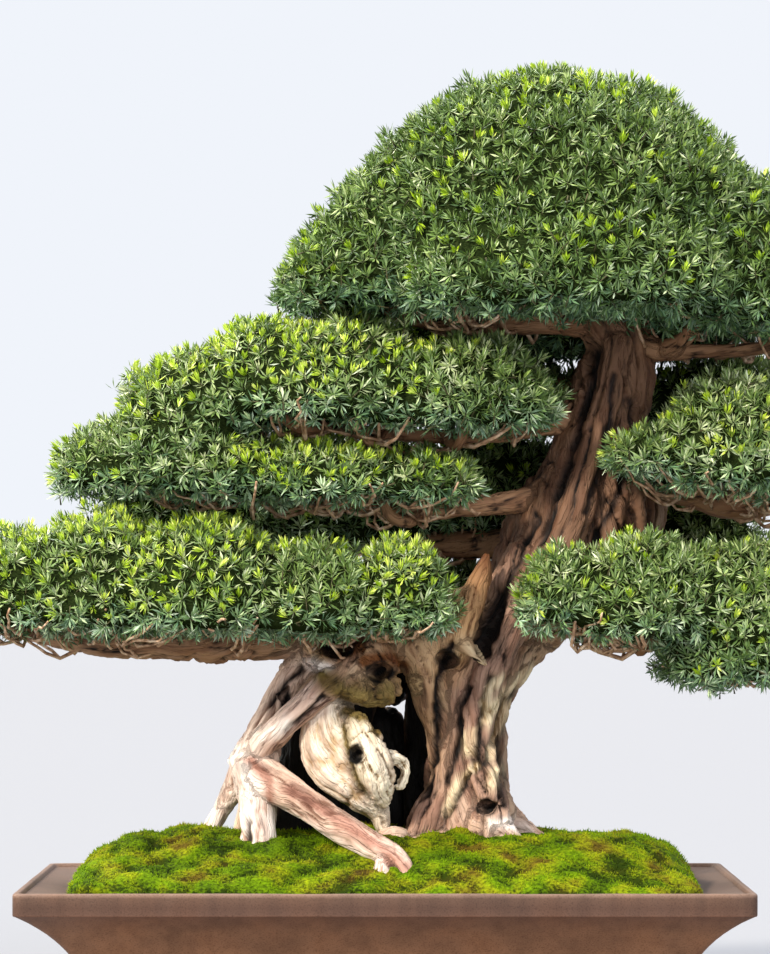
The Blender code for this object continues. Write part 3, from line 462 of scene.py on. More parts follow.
# The wood: roots, a trunk with strips of dead wood, a hollow base with a rotted-out heart, and branches, all
# one growth. Each limb is a route of (x, y, z, radius), and limbs that touch have grown together. Living
# bark is stringy and purplish brown; dead wood has weathered to cream, tan or near white.
LIMBS = {
    "column": [
        (78, 10, 112, 42), (76, 4, 146, 42), (71, 0, 180, 33), (69, 0, 215, 31), (76, 0, 265, 31),
        (95, 4, 308, 33), (124, 8, 350, 45), (156, 8, 393, 58), (178, 8, 435, 57), (184, 5, 478, 42),
        (191, 0, 520, 30), (200, 0, 563, 27), (188, 0, 600, 29), (172, 5, 645, 20), (164, 0, 695, 14),
        (158, 0, 745, 8),
    ],
    "column_front": [
        (92, -32, 128, 20), (90, -34, 180, 13), (78, -30, 230, 12), (86, -30, 280, 13),
        (106, -34, 330, 16), (138, -44, 380, 18), (160, -44, 430, 18), (176, -32, 480, 14),
        (190, -24, 525, 11), (198, -20, 570, 12),
    ],
    "column_left": [
        (20, -24, 134, 12), (34, -20, 162, 14), (48, -16, 200, 11), (52, -18, 260, 12), (70, -24, 308, 14),
        (96, -32, 345, 15), (118, -30, 390, 14),
    ],
    "column_right": [
        (104, -6, 140, 17), (88, -14, 200, 12), (96, -12, 265, 11), (118, -6, 308, 12),
        (164, 2, 355, 18), (204, 4, 398, 22), (216, 2, 440, 22), (208, 0, 476, 16),
    ],
    "root_right": [
        (90, 0, 172, 18), (110, -8, 156, 13), (129, -6, 144, 10), (146, 0, 131, 8),
        (160, 6, 112, 6),
    ],
    "root_right_front": [(84, -28, 162, 18), (102, -42, 148, 12), (119, -50, 132, 9), (134, -54, 112, 6)],
    "root_right_back": [(86, 32, 168, 22), (115, 52, 150, 14), (142, 66, 132, 9), (160, 74, 110, 6)],
    "root_back": [(60, 30, 168, 24), (40, 72, 150, 16), (28, 98, 132, 11), (22, 118, 108, 7)],
    "root_nub": [(48, -22, 140, 18), (26, -36, 140, 13), (4, -46, 146, 13), (0, -47, 134, 12)],
    "bridge": [
        (132, 2, 348, 40), (90, -8, 334, 34), (45, -14, 324, 31), (4, -16, 318, 30),
        (-36, -14, 316, 27), (-68, -10, 316, 22),
    ],
    "leg_upper": [(-56, -14, 312, 22), (-82, -12, 274, 15), (-100, -12, 240, 16), (-112, -14, 208, 21)],
    "leg_foot": [(-110, -22, 206, 20), (-107, -36, 174, 15), (-106, -50, 144, 15), (-104, -54, 116, 12)],
    "leg_outer_root": [(-118, -6, 204, 14), (-135, 0, 178, 8), (-149, 2, 154, 7), (-163, 6, 128, 7)],
    "leg_back_root": [(-108, 6, 206, 18), (-112, 34, 174, 13), (-118, 56, 146, 12), (-122, 70, 116, 9)],
    "front_root": [
        (-102, -32, 202, 17), (-66, -62, 181, 13), (-28, -92, 158, 12), (6, -117, 139, 11),
        (17, -126, 126, 8), (21, -134, 112, 6),
    ],
    "front_root_toe": [(2, -116, 138, 9), (-2, -128, 124, 8), (-2, -134, 110, 6)],
    "brow_strand": [(-28, -44, 296, 13), (-56, -50, 272, 12), (-86, -44, 246, 11), (-106, -32, 226, 11)],
    "under_strand": [(-46, -30, 290, 10), (-72, -34, 262, 9), (-92, -30, 232, 9)],
    "burl_left": [(-50, -34, 310, 20), (-42, -44, 298, 15)],
    "burl_middle": [(-12, -42, 306, 20), (-2, -46, 292, 14)],
    "burl_low": [(-34, -44, 284, 14), (-12, -46, 274, 12), (6, -42, 276, 9)],
    "heart_wood": [
        (-40, -24, 284, 12), (-46, -26, 252, 23), (-40, -32, 222, 30), (-22, -38, 196, 23),
        (-6, -36, 173, 10), (-2, -34, 158, 6),
    ],
    "heart_face": [(-24, -50, 246, 10), (-13, -60, 222, 15), (-6, -56, 200, 14), (-2, -46, 182, 7)],
    "heart_flake": [(-4, -52, 218, 7), (9, -52, 219, 6), (17, -48, 208, 4.5), (12, -48, 194, 4)],
    "tan_sheet": [
        (32, -28, 316, 24), (37, -26, 282, 18), (40, -24, 262, 15), (46, -18, 240, 12), (47, -14, 208, 10),
    ],
    "jin": [
        (56, -30, 304, 16), (66, -46, 328, 14), (74, -53, 351, 12), (81, -57, 371, 8),
        (85, -59, 388, 2.8),
    ],
    "jin_spur": [(62, -44, 318, 9), (74, -56, 308, 6), (84, -62, 297, 2.6)],
    "back_wall_left": [
        (-58, 26, 312, 22), (-70, 38, 262, 20), (-76, 42, 205, 20), (-82, 48, 150, 20),
        (-84, 52, 108, 15),
    ],
    "back_wall_middle": [
        (-24, 28, 316, 26), (-34, 42, 262, 25), (-37, 50, 220, 21), (-36, 56, 152, 20),
        (-36, 58, 108, 15),
    ],
    "back_wall_upper": [(10, 32, 318, 24), (6, 46, 288, 18), (5, 50, 272, 15)],
    "back_wall_lower": [(-2, 54, 247, 17), (2, 56, 205, 19), (4, 56, 150, 19), (6, 56, 112, 15)],
    "back_wall_right": [
        (46, 20, 318, 26), (38, 36, 262, 20), (36, 42, 205, 20), (38, 42, 140, 20),
        (40, 32, 112, 16),
    ],
    "branch_left_low": [
        (-64, -10, 320, 22), (-100, -18, 320, 18), (-142, -28, 314, 15), (-186, -34, 316, 14),
        (-236, -34, 316, 13), (-284, -32, 324, 11), (-328, -30, 334, 9), (-366, -28, 352, 7),
        (-384, -28, 368, 5),
    ],
    "twig_left_low_1": [(-110, -24, 318, 8), (-130, -60, 334, 6), (-136, -84, 356, 4.5)],
    "twig_left_low_2": [(-200, -34, 316, 8), (-226, -62, 334, 6), (-236, -78, 358, 4.5)],
    "twig_left_low_3": [(-160, -30, 316, 8), (-170, 2, 334, 6), (-176, 18, 356, 4.5)],
    "twig_left_low_4": [(-290, -32, 324, 7), (-310, -60, 340, 5.5), (-322, -74, 358, 4.5)],
    "branch_front_low": [(-8, -40, 316, 10), (2, -66, 330, 8), (8, -88, 346, 6), (10, -96, 362, 4.5)],
    "branch_front_left_low": [(-58, -30, 318, 10), (-62, -58, 334, 8), (-64, -78, 352, 5)],
    "branch_left_middle": [
        (160, 0, 430, 22), (122, -14, 434, 12), (80, -28, 430, 8.5), (36, -38, 425, 6.5),
        (-12, -44, 428, 5.5), (-62, -46, 436, 5), (-112, -44, 442, 5), (-164, -38, 448, 4.5),
        (-196, -32, 458, 4),
    ],
    "twig_left_middle_1": [(30, -39, 424, 6), (18, -48, 416, 5), (2, -58, 424, 4.5), (-4, -66, 448, 4)],
    "twig_left_middle_2": [(-100, -44, 438, 7), (-124, -66, 444, 5.5), (-140, -76, 462, 4)],
    "twig_left_middle_3": [(-140, -40, 444, 7), (-190, -10, 450, 5.5), (-214, -4, 468, 4)],
    "branch_left_upper": [
        (186, 6, 512, 20), (142, -8, 502, 11), (96, -28, 492, 8), (46, -44, 488, 6), (-6, -52, 491, 5),
        (-58, -54, 498, 5), (-106, -50, 506, 4.5), (-140, -46, 520, 4), (-152, -44, 534, 4),
    ],
    "twig_left_upper_1": [(54, -44, 487, 7), (60, -62, 480, 5), (66, -72, 492, 4.5), (68, -76, 514, 4)],
    "twig_left_upper_2": [(2, -52, 489, 7), (-10, -68, 482, 5), (-22, -76, 494, 4.5), (-30, -80, 518, 4)],
    "twig_left_upper_3": [(-50, -54, 495, 7), (-72, -74, 494, 5), (-92, -80, 512, 4.5), (-98, -82, 528, 4)],
    "branch_crown_left": [
        (188, 0, 590, 20), (148, -16, 588, 12), (104, -28, 583, 8.5), (62, -34, 582, 6.5),
        (20, -34, 588, 5.5), (-8, -30, 602, 5), (-20, -28, 622, 4.5),
    ],
    "twig_crown_left": [(92, -30, 583, 8), (78, -52, 584, 6), (64, -72, 594, 5), (58, -80, 614, 4)],
    "branch_crown_right": [
        (196, 0, 574, 20), (228, -12, 563, 10), (268, -20, 561, 6.5), (312, -22, 563, 5.5),
        (344, -20, 572, 6), (360, -16, 598, 5),
    ],
    "twig_crown_right": [(236, -14, 562, 8), (252, -36, 570, 6), (262, -50, 586, 5), (266, -56, 606, 4)],
    "branch_crown_back": [(184, 6, 600, 18), (176, 40, 590, 12), (168, 76, 592, 8), (164, 96, 616, 5)],
    "branch_right_middle": [
        (206, 0, 446, 24), (238, -10, 448, 16), (264, -22, 440, 13), (286, -30, 431, 12),
        (318, -34, 431, 11), (344, -34, 440, 8), (354, -34, 460, 5),
    ],
    "twig_right_middle_1": [(248, -16, 446, 9), (262, -44, 446, 7), (276, -58, 460, 5), (282, -62, 478, 4)],
    "branch_right_low": [
        (140, -12, 362, 28), (160, -40, 338, 18), (192, -60, 324, 13), (236, -70, 320, 11),
        (284, -70, 314, 9), (326, -60, 314, 8), (352, -50, 320, 6), (362, -44, 332, 4.5),
    ],
    "twig_right_low_1": [(168, -46, 330, 9), (160, -74, 326, 6), (156, -88, 346, 4.5)],
    "twig_right_low_2": [(212, -66, 312, 9), (218, -82, 322, 6), (222, -90, 346, 4.5)],
    "branch_back_left": [
        (136, 30, 402, 18), (92, 74, 398, 13), (36, 106, 398, 10), (-30, 122, 400, 9), (-96, 122, 406, 7),
        (-150, 114, 414, 6), (-176, 110, 434, 4.5),
    ],
    "branch_back_upper": [
        (190, 20, 564, 16), (178, 56, 548, 12), (166, 92, 538, 9), (154, 112, 534, 7),
        (142, 120, 540, 4.5),
    ],
    "twig_back_upper_left": [
        (168, 88, 539, 8), (110, 108, 532, 7), (40, 116, 538, 6), (-20, 114, 544, 5), (-42, 112, 556, 4),
    ],
    "twig_back_upper_right": [(168, 88, 539, 8), (214, 108, 526, 6), (262, 112, 518, 5), (290, 106, 528, 4)],
    "branch_back_right": [
        (196, 30, 452, 18), (230, 74, 448, 12), (266, 104, 452, 9), (290, 114, 464, 6),
        (298, 116, 486, 4.5),
    ],
    "branch_back_low": [
        (138, 34, 350, 20), (152, 78, 336, 13), (164, 112, 332, 10), (168, 132, 344, 7),
        (170, 138, 368, 4.5),
    ],
    "twig_back_low_left": [(150, 74, 337, 8), (112, 104, 328, 6), (76, 122, 332, 5), (64, 126, 350, 4)],
    "twig_back_low": [(162, 108, 333, 8), (206, 116, 338, 6), (244, 116, 350, 5), (258, 116, 372, 4)],
}
# Holes that have rotted into it: x, y, z and half their width, depth and height.
ROT_HOLES = [
    (-24, -68, 222, 7, 13, 8), (-40, -50, 313, 14, 20, 12), (-4, -58, 290, 12, 24, 9),
    (52, -44, 300, 10, 16, 9), (86, -42, 177, 10, 12, 8), (-84, -28, 268, 4.5, 12, 10),
]
ROT_RAGGEDNESS = (0.3, 7)  # how uneven the painted shade round them is, in shares of their size, over what length
# Long marks on its front: what shows there, half its width, and its route as (x, z) seen from the front.
MARKS = [
    ("painted_shade_furrow", 3.6, [(56, 312), (46, 282), (44, 240), (40, 214), (35, 188)]),
    ("painted_shade_furrow", 2.8, [(72, 278), (64, 261), (63, 231), (58, 214), (54, 197)]),
    ("painted_shade_furrow", 3.6, [(89, 284), (82, 265), (80, 240), (78, 210)]),
    ("painted_shade_furrow", 2.6, [(103, 265), (89, 231), (84, 214)]),
    ("painted_shade_furrow", 2.8, [(110, 273), (102, 256), (97, 231), (96, 210), (99, 178)]),
    ("painted_shade_furrow", 2.2, [(74, 206), (63, 188), (52, 168)]),
    ("painted_shade_furrow", 6.5, [(95, 354), (86, 330), (82, 306)]),
    ("painted_shade_furrow", 3.0, [(128, 420), (112, 380), (98, 345), (90, 318)]),
    ("painted_shade_furrow", 3.0, [(178, 560), (172, 520), (160, 480), (146, 440), (132, 400)]),
    ("painted_shade_furrow", 2.6, [(192, 540), (190, 500), (180, 460), (168, 425)]),
    ("painted_shade_furrow", 2.6, [(206, 520), (206, 480), (196, 440), (178, 400), (158, 368)]),
    ("painted_shade_furrow", 2.0, [(-50, 271), (-66, 256), (-84, 241)]),
    ("painted_shade_furrow", 2.4, [(-70, 293), (-88, 276), (-98, 262)]),
    ("painted_shade_furrow", 2.6, [(3, 140), (9, 126)]),
    ("painted_shade_furrow", 2.6, [(-113, 166), (-115, 150)]),
    ("bleached", 4.0, [(122, 292), (106, 277), (93, 264), (86, 250)]),
    ("bleached", 3.0, [(99, 286), (88, 277), (84, 260)]),
    ("bleached", 3.6, [(106, 262), (95, 240), (90, 220)]),
    ("bleached", 3.0, [(68, 236), (68, 222)]),
    ("bleached", 3.0, [(75, 240), (73, 224)]),
    ("bleached", 2.8, [(76, 212), (60, 193), (50, 170)]),
    ("bleached", 5.0, [(92, 206), (90, 196)]),
    ("white", 5.0, [(92, 163), (106, 163), (120, 155)]),
    ("white", 5.0, [(-84, 172), (-60, 160), (-39, 150), (-18, 138)]),
    ("white", 6.0, [(-104, 236), (-84, 246)]),
    ("white", 12.0, [(-120, 216), (-112, 196), (-104, 176)]),
    ("white", 5.0, [(-62, 298), (-48, 292)]),
    ("crust", 8.0, [(-50, 282), (-30, 274), (-12, 268), (2, 272)]),
    ("crust", 5.0, [(-34, 256), (-14, 250), (-6, 240)]),
    ("crust", 4.0, [(-33, 244), (-31, 226), (-27, 206), (-18, 192)]),
    ("flush", 4.0, [(-112, 214), (-98, 202), (-94, 184)]),
    ("flush", 6.0, [(-80, 192), (-50, 176), (-20, 158), (4, 142), (16, 130)]),
    ("rust", 7.0, [(-60, 322), (-40, 304), (-22, 312)]),
    ("rust", 5.0, [(-18, 300), (2, 302), (16, 296)]),
]
# Their colours on ridges and in creases, and how far they stand out, in half widths.
# Furrows are sunk a little and painted near black: painted shade in the gaps between the strips.
MARK_LOOKS = {
    "painted_shade_furrow": ("#2a1a11", "#0b0705", -1.5), "bleached": ("#ecdab8", "#8f7650", 0.35),
    "white": ("#fff6f0", "#c9ab9a", 0.2), "crust": ("#83703e", "#261c0a", 0.3),
    "flush": ("#bd9080", "#7c5446", 0.0), "rust": ("#7d4c26", "#170b05", -0.3),
}
MARK_WANDER = (2.2, 8)  # how far they wander, and over what length
MARK_COVER = 1.3
FURROW_SHADE = 0.4
MARKED_TO = 5  # the y that marks on the front reach back to
ROOT_DEPTH = 15  # the roots are pruned off this far under the soil
LIMB_SIDES = 16
LIMB_BLUNTNESS = 0.6
ROUTE_STEPS = 6
STATION = 3  # between two places along a limb
WOOD_VOXEL = 1.5
TRUNK_FACES = 152000
BRANCH_FACES = 50000
GROWN_TOGETHER = 12  # how far the grain of one limb runs over onto the next
GRAIN_SHIFT = 0.7  # metres of grain from one limb to the next, so that no two look alike
GRAIN_TWIST = 150  # mm of limb for each radian that its grain turns
GRAIN_SWAYS = ((5, 40), (1.6, 13))  # how far the grain wanders from side to side, and over what length
FULL_STRANDS = 20  # on thinner limbs than this radius, the strands are shallower
THIN_SHARE = 0.25  # what is left of their depth on the thinnest
FLUTED_FROM = 22  # limbs thicker than this radius also have broad flutes
FLUTE_WIDTH = 24
FLUTE_STRETCH = 6
# The orders of strands: how many times finer, seed, and shares of the surface's depth and of ridge height.
STRAND_ORDERS = ((1, 31, 1, 0.85), (2.6, 32, 0.42, 0.55), (5, 33, 0.16, 0.3))
STRAND_TOP = 0.35  # how far a strand's back stands out, where a crease between two is 1 deep
CREASE_NARROWNESS = 2.2
EVENNESS = ((0.85, 0.9), 26)  # the strands' depth varies by these shares over this length
# How each kind of surface weathered: colour of its ridges, colour of its creases (their own darker wood
# with painted shade in them), depth and width of its strands, and how many times longer than wide they are.
WEATHERED = {
    "stringy_bark": ("#ab8977", "#2a1a13", 7.0, 10, 15),
    "upper_bark": ("#7a5a44", "#1c110a", 6.0, 8, 9),
    "dead_strips": ("#dcc3a2", "#33210f", 7.5, 8, 11),
    "bare_root": ("#e3c5b0", "#553a2b", 4.6, 9, 6),
    "bleached": ("#fff2ea", "#b08c7c", 3.0, 11, 6),
    "rosy": ("#f2d8c6", "#93705e", 3.2, 10, 9),
    "brow": ("#e2c4b4", "#5c4036", 4.2, 9, 12),
    "burl": ("#c4a27c", "#23140a", 9.0, 11, 2.0),
    "bridge": ("#b59575", "#2c1d12", 6.8, 12, 4),
    "heart": ("#fdf0de", "#cdb28c", 2.6, 14, 3),
    "heart_face": ("#fff3dc", "#75592f", 5.0, 8, 1.1),
    "sheet": ("#c4a37e", "#6a4c34", 3.0, 10, 9),
    "snag": ("#d2a678", "#6a4426", 3.0, 8, 12),
    "spur": ("#f0d8b2", "#8c6840", 1.4, 6, 6),
    "hollow_wall": ("#b08d74", "#24160f", 6.0, 13, 6),
    "crusted": ("#9c8656", "#1c150a", 7.0, 6, 1.5),
    "rough_branch": ("#a07d60", "#1c110a", 7.0, 8, 3),
    "branch_bark": ("#a8805f", "#2c1b11", 3.0, 6, 5),
}
# Near black: painted shade inside the hollow and in the small holes.
HOLLOW_SHADE = "#0b0705"  # inside the hollow and in the small holes
JIN_TIP = "#6d4322"
LIMB_SURFACES = {
    "column": "stringy_bark", "column_front": "stringy_bark", "column_left": "stringy_bark",
    "column_right": "dead_strips", "root_right": "bare_root", "root_right_front": "bare_root",
    "root_right_back": "bare_root", "root_back": "bare_root", "root_nub": "bare_root", "bridge": "bridge",
    "leg_upper": "rosy", "leg_foot": "bleached", "leg_outer_root": "bleached", "leg_back_root": "bare_root",
    "front_root": "rosy", "front_root_toe": "bleached", "brow_strand": "brow", "under_strand": "bridge",
    "burl_left": "burl", "burl_middle": "burl", "burl_low": "crusted", "heart_wood": "heart",
    "heart_face": "heart_face", "heart_flake": "heart_face", "tan_sheet": "sheet", "jin": "snag",
    "jin_spur": "spur", "back_wall_left": "hollow_wall", "back_wall_middle": "hollow_wall",
    "back_wall_upper": "hollow_wall", "back_wall_lower": "hollow_wall", "back_wall_right": "hollow_wall",
    "branch_left_low": "rough_branch", "branch_front_low": "rough_branch",
}
UPPER_BARK_FROM = 335  # the bark turns warmer and browner over this height
UPPER_BARK_FULL = 410
BARK_STRIP = 16  # the width of the strips of it that run down between dead wood
BARK_STRIP_STRETCH = 6
POINTS_AT_A_TIME = 20000


def smooth_course(route):
    """Stations along a smooth curve through a route: centres, radii, ways along and across, distances."""
    knots = np.array(route, float) * MM
    knots = np.vstack([2 * knots[0] - knots[1], knots, 2 * knots[-1] - knots[-2]])
    t = (np.arange(ROUTE_STEPS) / ROUTE_STEPS)[:, None]
    pieces = []
    for a, b, c, d in zip(knots, knots[1:], knots[2:], knots[3:]):
        bend, turn = 2 * a - 5 * b + 4 * c - d, 3 * b - a - 3 * c + d
        pieces.append(0.5 * (2 * b + (c - a) * t + bend * t**2 + turn * t**3))
    path = np.vstack([*pieces, knots[-2]])
    run = np.concatenate([[0], np.cumsum(np.linalg.norm(np.diff(path[:, :3], axis=0), axis=1))])
    along = np.linspace(0, run[-1], max(int(run[-1] / (STATION * MM)), 4))
    path = np.column_stack([np.interp(along, run, path[:, k]) for k in range(4)])
    centres, radii = path[:, :3], path[:, 3]
    ahead = unit(np.gradient(centres, axis=0))
    across = np.empty_like(ahead)
    way = np.cross(ahead[0], (0.0, 1.0, 0.0) if abs(ahead[0][1]) < 0.9 else (1.0, 0.0, 0.0))
    for i, forward in enumerate(ahead):
        way = unit(way - forward * (way @ forward))
        across[i] = way
    return centres, radii, ahead, across, np.cross(ahead, across), along


COURSES = {name: smooth_course(route) for name, route in LIMBS.items()}


def limbs_mesh(names):
    """Tubes with blunt ends along these limbs, fused into one closed surface of small even faces."""
    points, faces = [], []
    for name in names:
        centres, radii, ahead, across, side, _ = COURSES[name]
        blunt = LIMB_BLUNTNESS
        first = centres[0] - ahead[0] * radii[0] * blunt
        last = centres[-1] + ahead[-1] * radii[-1] * blunt
        middles = np.vstack([first, centres, last])
        widths = np.concatenate([[radii[0] * blunt], radii, [radii[-1] * blunt]])
        wide, deep = (np.vstack([way[0], way, way[-1]]) for way in (across, side))
        base = len(points)
        for k in range(len(middles)):
            for step in range(LIMB_SIDES):
                a = 2 * math.pi * step / LIMB_SIDES
                points.append(middles[k] + (wide[k] * math.cos(a) + deep[k] * math.sin(a)) * widths[k])
        for low in range(base, len(points) - LIMB_SIDES, LIMB_SIDES):
            faces += quads_between(low, low + LIMB_SIDES, LIMB_SIDES)
        faces.append(tuple(range(base, base + LIMB_SIDES))[::-1])
        faces.append(tuple(range(len(points) - LIMB_SIDES, len(points))))
    mesh = bpy.data.meshes.new("limbs")
    mesh.from_pydata(points, [], faces)
    tubes = link_object("limbs", mesh)
    add_modifier(tubes, "REMESH", mode="VOXEL", voxel_size=WOOD_VOXEL * MM)
    return evaluated(tubes)


def strands(grain, width, stretch, seed):
    """Rounded ridges that run along the grain, parted by sharp creases."""
    ridges = noise_at(grain / (width * MM) / (1, 1, stretch), seed)
    return STRAND_TOP - (1 - np.minimum(np.abs(ridges) * CREASE_NARROWNESS, 1)) ** 2


def blend_pair(pair, towards, share):
    """Moves ridge and crease colours towards another pair, by a share for each point."""
    towards = np.array([linear(code) for code in towards])[None]
    return pair + (towards - pair) * share[:, None, None]


def distance_to_route(x, z, route):
    """How far these places are from a route of straight lines, in the same plane."""
    nearest = np.full(len(x), np.inf)
    for (ax, az), (bx, bz) in zip(route, route[1:]):
        dx, dz = bx - ax, bz - az
        share = np.clip(((x - ax) * dx + (z - az) * dz) / (dx * dx + dz * dz), 0, 1)
        nearest = np.minimum(nearest, np.hypot(x - ax - dx * share, z - az - dz * share))
    return nearest


def weather(points, normals):
    """For each point: how far its surface stands out, how high on a ridge it is, its grain, its colours."""
    count = len(points)
    total, best, depth, ridge = np.zeros((4, count))
    grain = np.zeros((count, 3))
    tints = np.zeros((count, 2, 4))
    sway = np.zeros((count, 2))
    for number, (reach, length) in enumerate(GRAIN_SWAYS):
        for side in (0, 1):
            sway[:, side] += reach * MM * noise_at(points / (length * MM), 21 + 2 * number + side)
    warm = np.clip((points[:, 2] / MM - UPPER_BARK_FROM) / (UPPER_BARK_FULL - UPPER_BARK_FROM), 0, 1)
    upper_bark = WEATHERED["upper_bark"][:2]
    for number, (name, (centres, radii, ahead, across, side, along)) in enumerate(COURSES.items()):
        reach = radii.max() + GROWN_TOGETHER * MM
        low, high = centres.min(0) - reach, centres.max(0) + reach
        near = np.flatnonzero(((points > low) & (points < high)).all(1))
        kind = LIMB_SURFACES.get(name, "branch_bark")
        colour, shade, deep, width, stretch = WEATHERED[kind]
        for chosen in np.array_split(near, len(near) // POINTS_AT_A_TIME + 1):
            spots = points[chosen]
            station = ((centres**2).sum(1) - 2 * spots @ centres.T).argmin(1)
            gap = spots - centres[station]
            forward = (gap * ahead[station]).sum(1)
            gap -= ahead[station] * forward[:, None]
            beyond = np.linalg.norm(gap, axis=1) - radii[station]
            weight = np.clip(1 - beyond / (GROWN_TOGETHER * MM), 0, 1) ** 2
            on = weight > 0
            chosen, station, gap, forward, weight = (a[on] for a in (chosen, station, gap, forward, weight))
            if not len(chosen):
                continue
            run = along[station] + forward
            turn = run / (GRAIN_TWIST * MM)
            a = (gap * across[station]).sum(1) + sway[chosen, 0]
            b = (gap * side[station]).sum(1) + sway[chosen, 1]
            turned = (a * np.cos(turn) - b * np.sin(turn), a * np.sin(turn) + b * np.cos(turn))
            own = np.column_stack((*turned, run + number * GRAIN_SHIFT))
            size = radii[station] / MM
            share = THIN_SHARE + (1 - THIN_SHARE) * np.minimum(size, FULL_STRANDS) / FULL_STRANDS
            spread, length = EVENNESS
            share = share * (spread[0] + spread[1] * noise_at(own / (length * MM) / (1, 1, 3), 29))
            flutes = np.clip(size / FLUTED_FROM - 1, 0, 0.6) * strands(own, FLUTE_WIDTH, FLUTE_STRETCH, 30)
            relief, level = flutes, 0.6 + 0.5 * flutes
            for finer, seed, deeper, higher in STRAND_ORDERS:
                strand = strands(own, width / finer, stretch, seed)
                relief = relief + deeper * strand
                level = level + higher * strand
            weights = weight[:, None, None]
            total[chosen] += weight
            depth[chosen] += weight * deep * relief * share
            ridge[chosen] += weight * level
            pair = np.array([linear(colour), linear(shade)])[None] + np.zeros_like(weights)
            if kind == "stringy_bark":
                pair = blend_pair(pair, upper_bark, warm[chosen])
            if kind == "dead_strips":
                strip = noise_at(own / (BARK_STRIP * MM) / (1, 1, BARK_STRIP_STRETCH), 41)
                strip = warm[chosen] * 2 + 2.5 * strip - 0.1
                pair = blend_pair(pair, upper_bark, np.clip(strip, 0, 1))
            if kind == "snag":
                pair = blend_pair(pair, (JIN_TIP, JIN_TIP), np.clip(1.6 * run / along[-1] - 0.6, 0, 1))
            # Faces of the hollow's back walls are painted near black the more they face forward, into the
            # hollow: painted shade.
            if kind == "hollow_wall":
                pair = blend_pair(pair, (HOLLOW_SHADE, HOLLOW_SHADE), np.clip(0.5 - 1.5 * normals[chosen, 1], 0, 1))
            tints[chosen] += weights * pair
            leads = weight > best[chosen]
            best[chosen[leads]] = weight[leads]
            grain[chosen[leads]] = own[leads]
    total = np.maximum(total, 1e-6)
    return depth / total, ridge / total, grain, tints / total[:, None, None]


def mark(points, normals, depth, ridge, tints):
    """Adds the marks on the front, and the painted shade in and round the holes, to the depths, ridges and
    colours.
    """
    front = np.flatnonzero((points[:, 1] < MARKED_TO * MM) & (normals[:, 1] < 0.3))
    reach, length = MARK_WANDER
    wander = [reach * noise_at(points[front] / (length * MM), seed) for seed in (52, 53)]
    x, z = points[front, 0] / MM + wander[0], points[front, 2] / MM + wander[1]
    for kind, half, route in MARKS:
        colour, shade, rise = MARK_LOOKS[kind]
        share = np.exp(-((distance_to_route(x, z, route) / half) ** 2))
        depth[front] += rise * half * share
        ridge[front] -= FURROW_SHADE * share * (kind == "painted_shade_furrow")
        tints[front] = blend_pair(tints[front], (colour, shade), np.minimum(MARK_COVER * share, 1))
    reach, length = ROT_RAGGEDNESS
    ragged = reach * noise_at(points / (length * MM), 51)
    # Each hole is painted near black inside and round its rim, as painted shade, and its relief is flattened
    # there.
    for x, y, z, *halves in ROT_HOLES:
        away = np.linalg.norm((points / MM - (x, y, z)) / halves, axis=1)
        inside = np.clip(4 * (1.15 - away + ragged), 0, 1)
        depth *= 1 - inside
        tints = blend_pair(tints, (HOLLOW_SHADE, HOLLOW_SHADE), inside)
    return depth, ridge, tints


def attach(mesh, name, kind, values):
    """Stores a number, a vector or a colour for each point of a mesh, which its finish reads."""
    field = {"FLOAT": "value", "FLOAT_VECTOR": "vector", "FLOAT_COLOR": "color"}[kind]
    made = mesh.attributes.new(name, kind, "POINT")
    made.data.foreach_set(field, np.ascontiguousarray(values, np.float32).ravel())


def weathered_piece(names, faces, cutters):
    """The weathered surface of these limbs, as one closed mesh with what its finish reads."""
    mesh = limbs_mesh(names)
    for cutter in cutters:
        mesh = cut(mesh, cutter.copy(), "DIFFERENCE", "MANIFOLD")
    points, triangles, normals = arrays_of(mesh)
    depth, ridge, grain, tints = weather(points, normals)
    depth, ridge, tints = mark(points, normals, depth, ridge, tints)
    places = points + normals * (depth * MM)[:, None]
    rough = mesh_from_arrays("weathered", places, triangles, ())
    attach(rough, "ridge", "FLOAT", ridge)
    attach(rough, "grain", "FLOAT_VECTOR", grain)
    attach(rough, "ridge_tint", "FLOAT_COLOR", tints[:, 0])
    attach(rough, "crease_colour_and_shade", "FLOAT_COLOR", tints[:, 1])
    wood = link_object("weathered", rough)
    add_modifier(wood, "DECIMATE", ratio=min(1, faces / len(triangles)))
    made = evaluated(wood)
    made.shade_smooth()
    return made


# The mound of soil that the roots run into, which the moss lies on.
MOUND_RISE = 42
MOUND_HALF_LENGTH = POT_LENGTH / 2 - LEDGE_WIDTH - 3
MOUND_HALF_DEPTH = POT_DEPTH / 2 - LEDGE_WIDTH - 3
MOUND_BOXINESS = 8
MOUND_END_STEEPNESS = 0.6
RING_SQUARENESS = (2.2, 7.0)  # of the rings it is built on, in the middle, and what they gain outwards
SOIL_EDGE = POT_HEIGHT - BEAD_RISE - LEDGE_DROP - 4


def mound(x, y):
    """The share of the mound's rise at these places: boxy along the pot, rounder from front to back."""
    along = np.minimum(1, np.abs(x) / MOUND_HALF_LENGTH)
    across = np.minimum(1, np.abs(y) / MOUND_HALF_DEPTH)
    return (1 - along**MOUND_BOXINESS) ** MOUND_END_STEEPNESS * (1 - across**2)


def soil_top(x, y):
    return SOIL_EDGE + MOUND_RISE * mound(x, y)


def mound_rings(count, segments):
    """Rings of x and y from the middle of the soil out to the pot's wall, as arrays."""
    share = np.sin(math.pi / 2 * np.arange(1, count + 1) / count)[:, None] ** 0.9
    power = RING_SQUARENESS[0] + RING_SQUARENESS[1] * share**3
    angle = 2 * math.pi * np.arange(segments) / segments
    c, s = np.cos(angle), np.sin(angle)
    reach = share / (np.abs(c) ** power + np.abs(s) ** power) ** (1 / power)
    return MOUND_HALF_LENGTH * reach * c, MOUND_HALF_DEPTH * reach * s


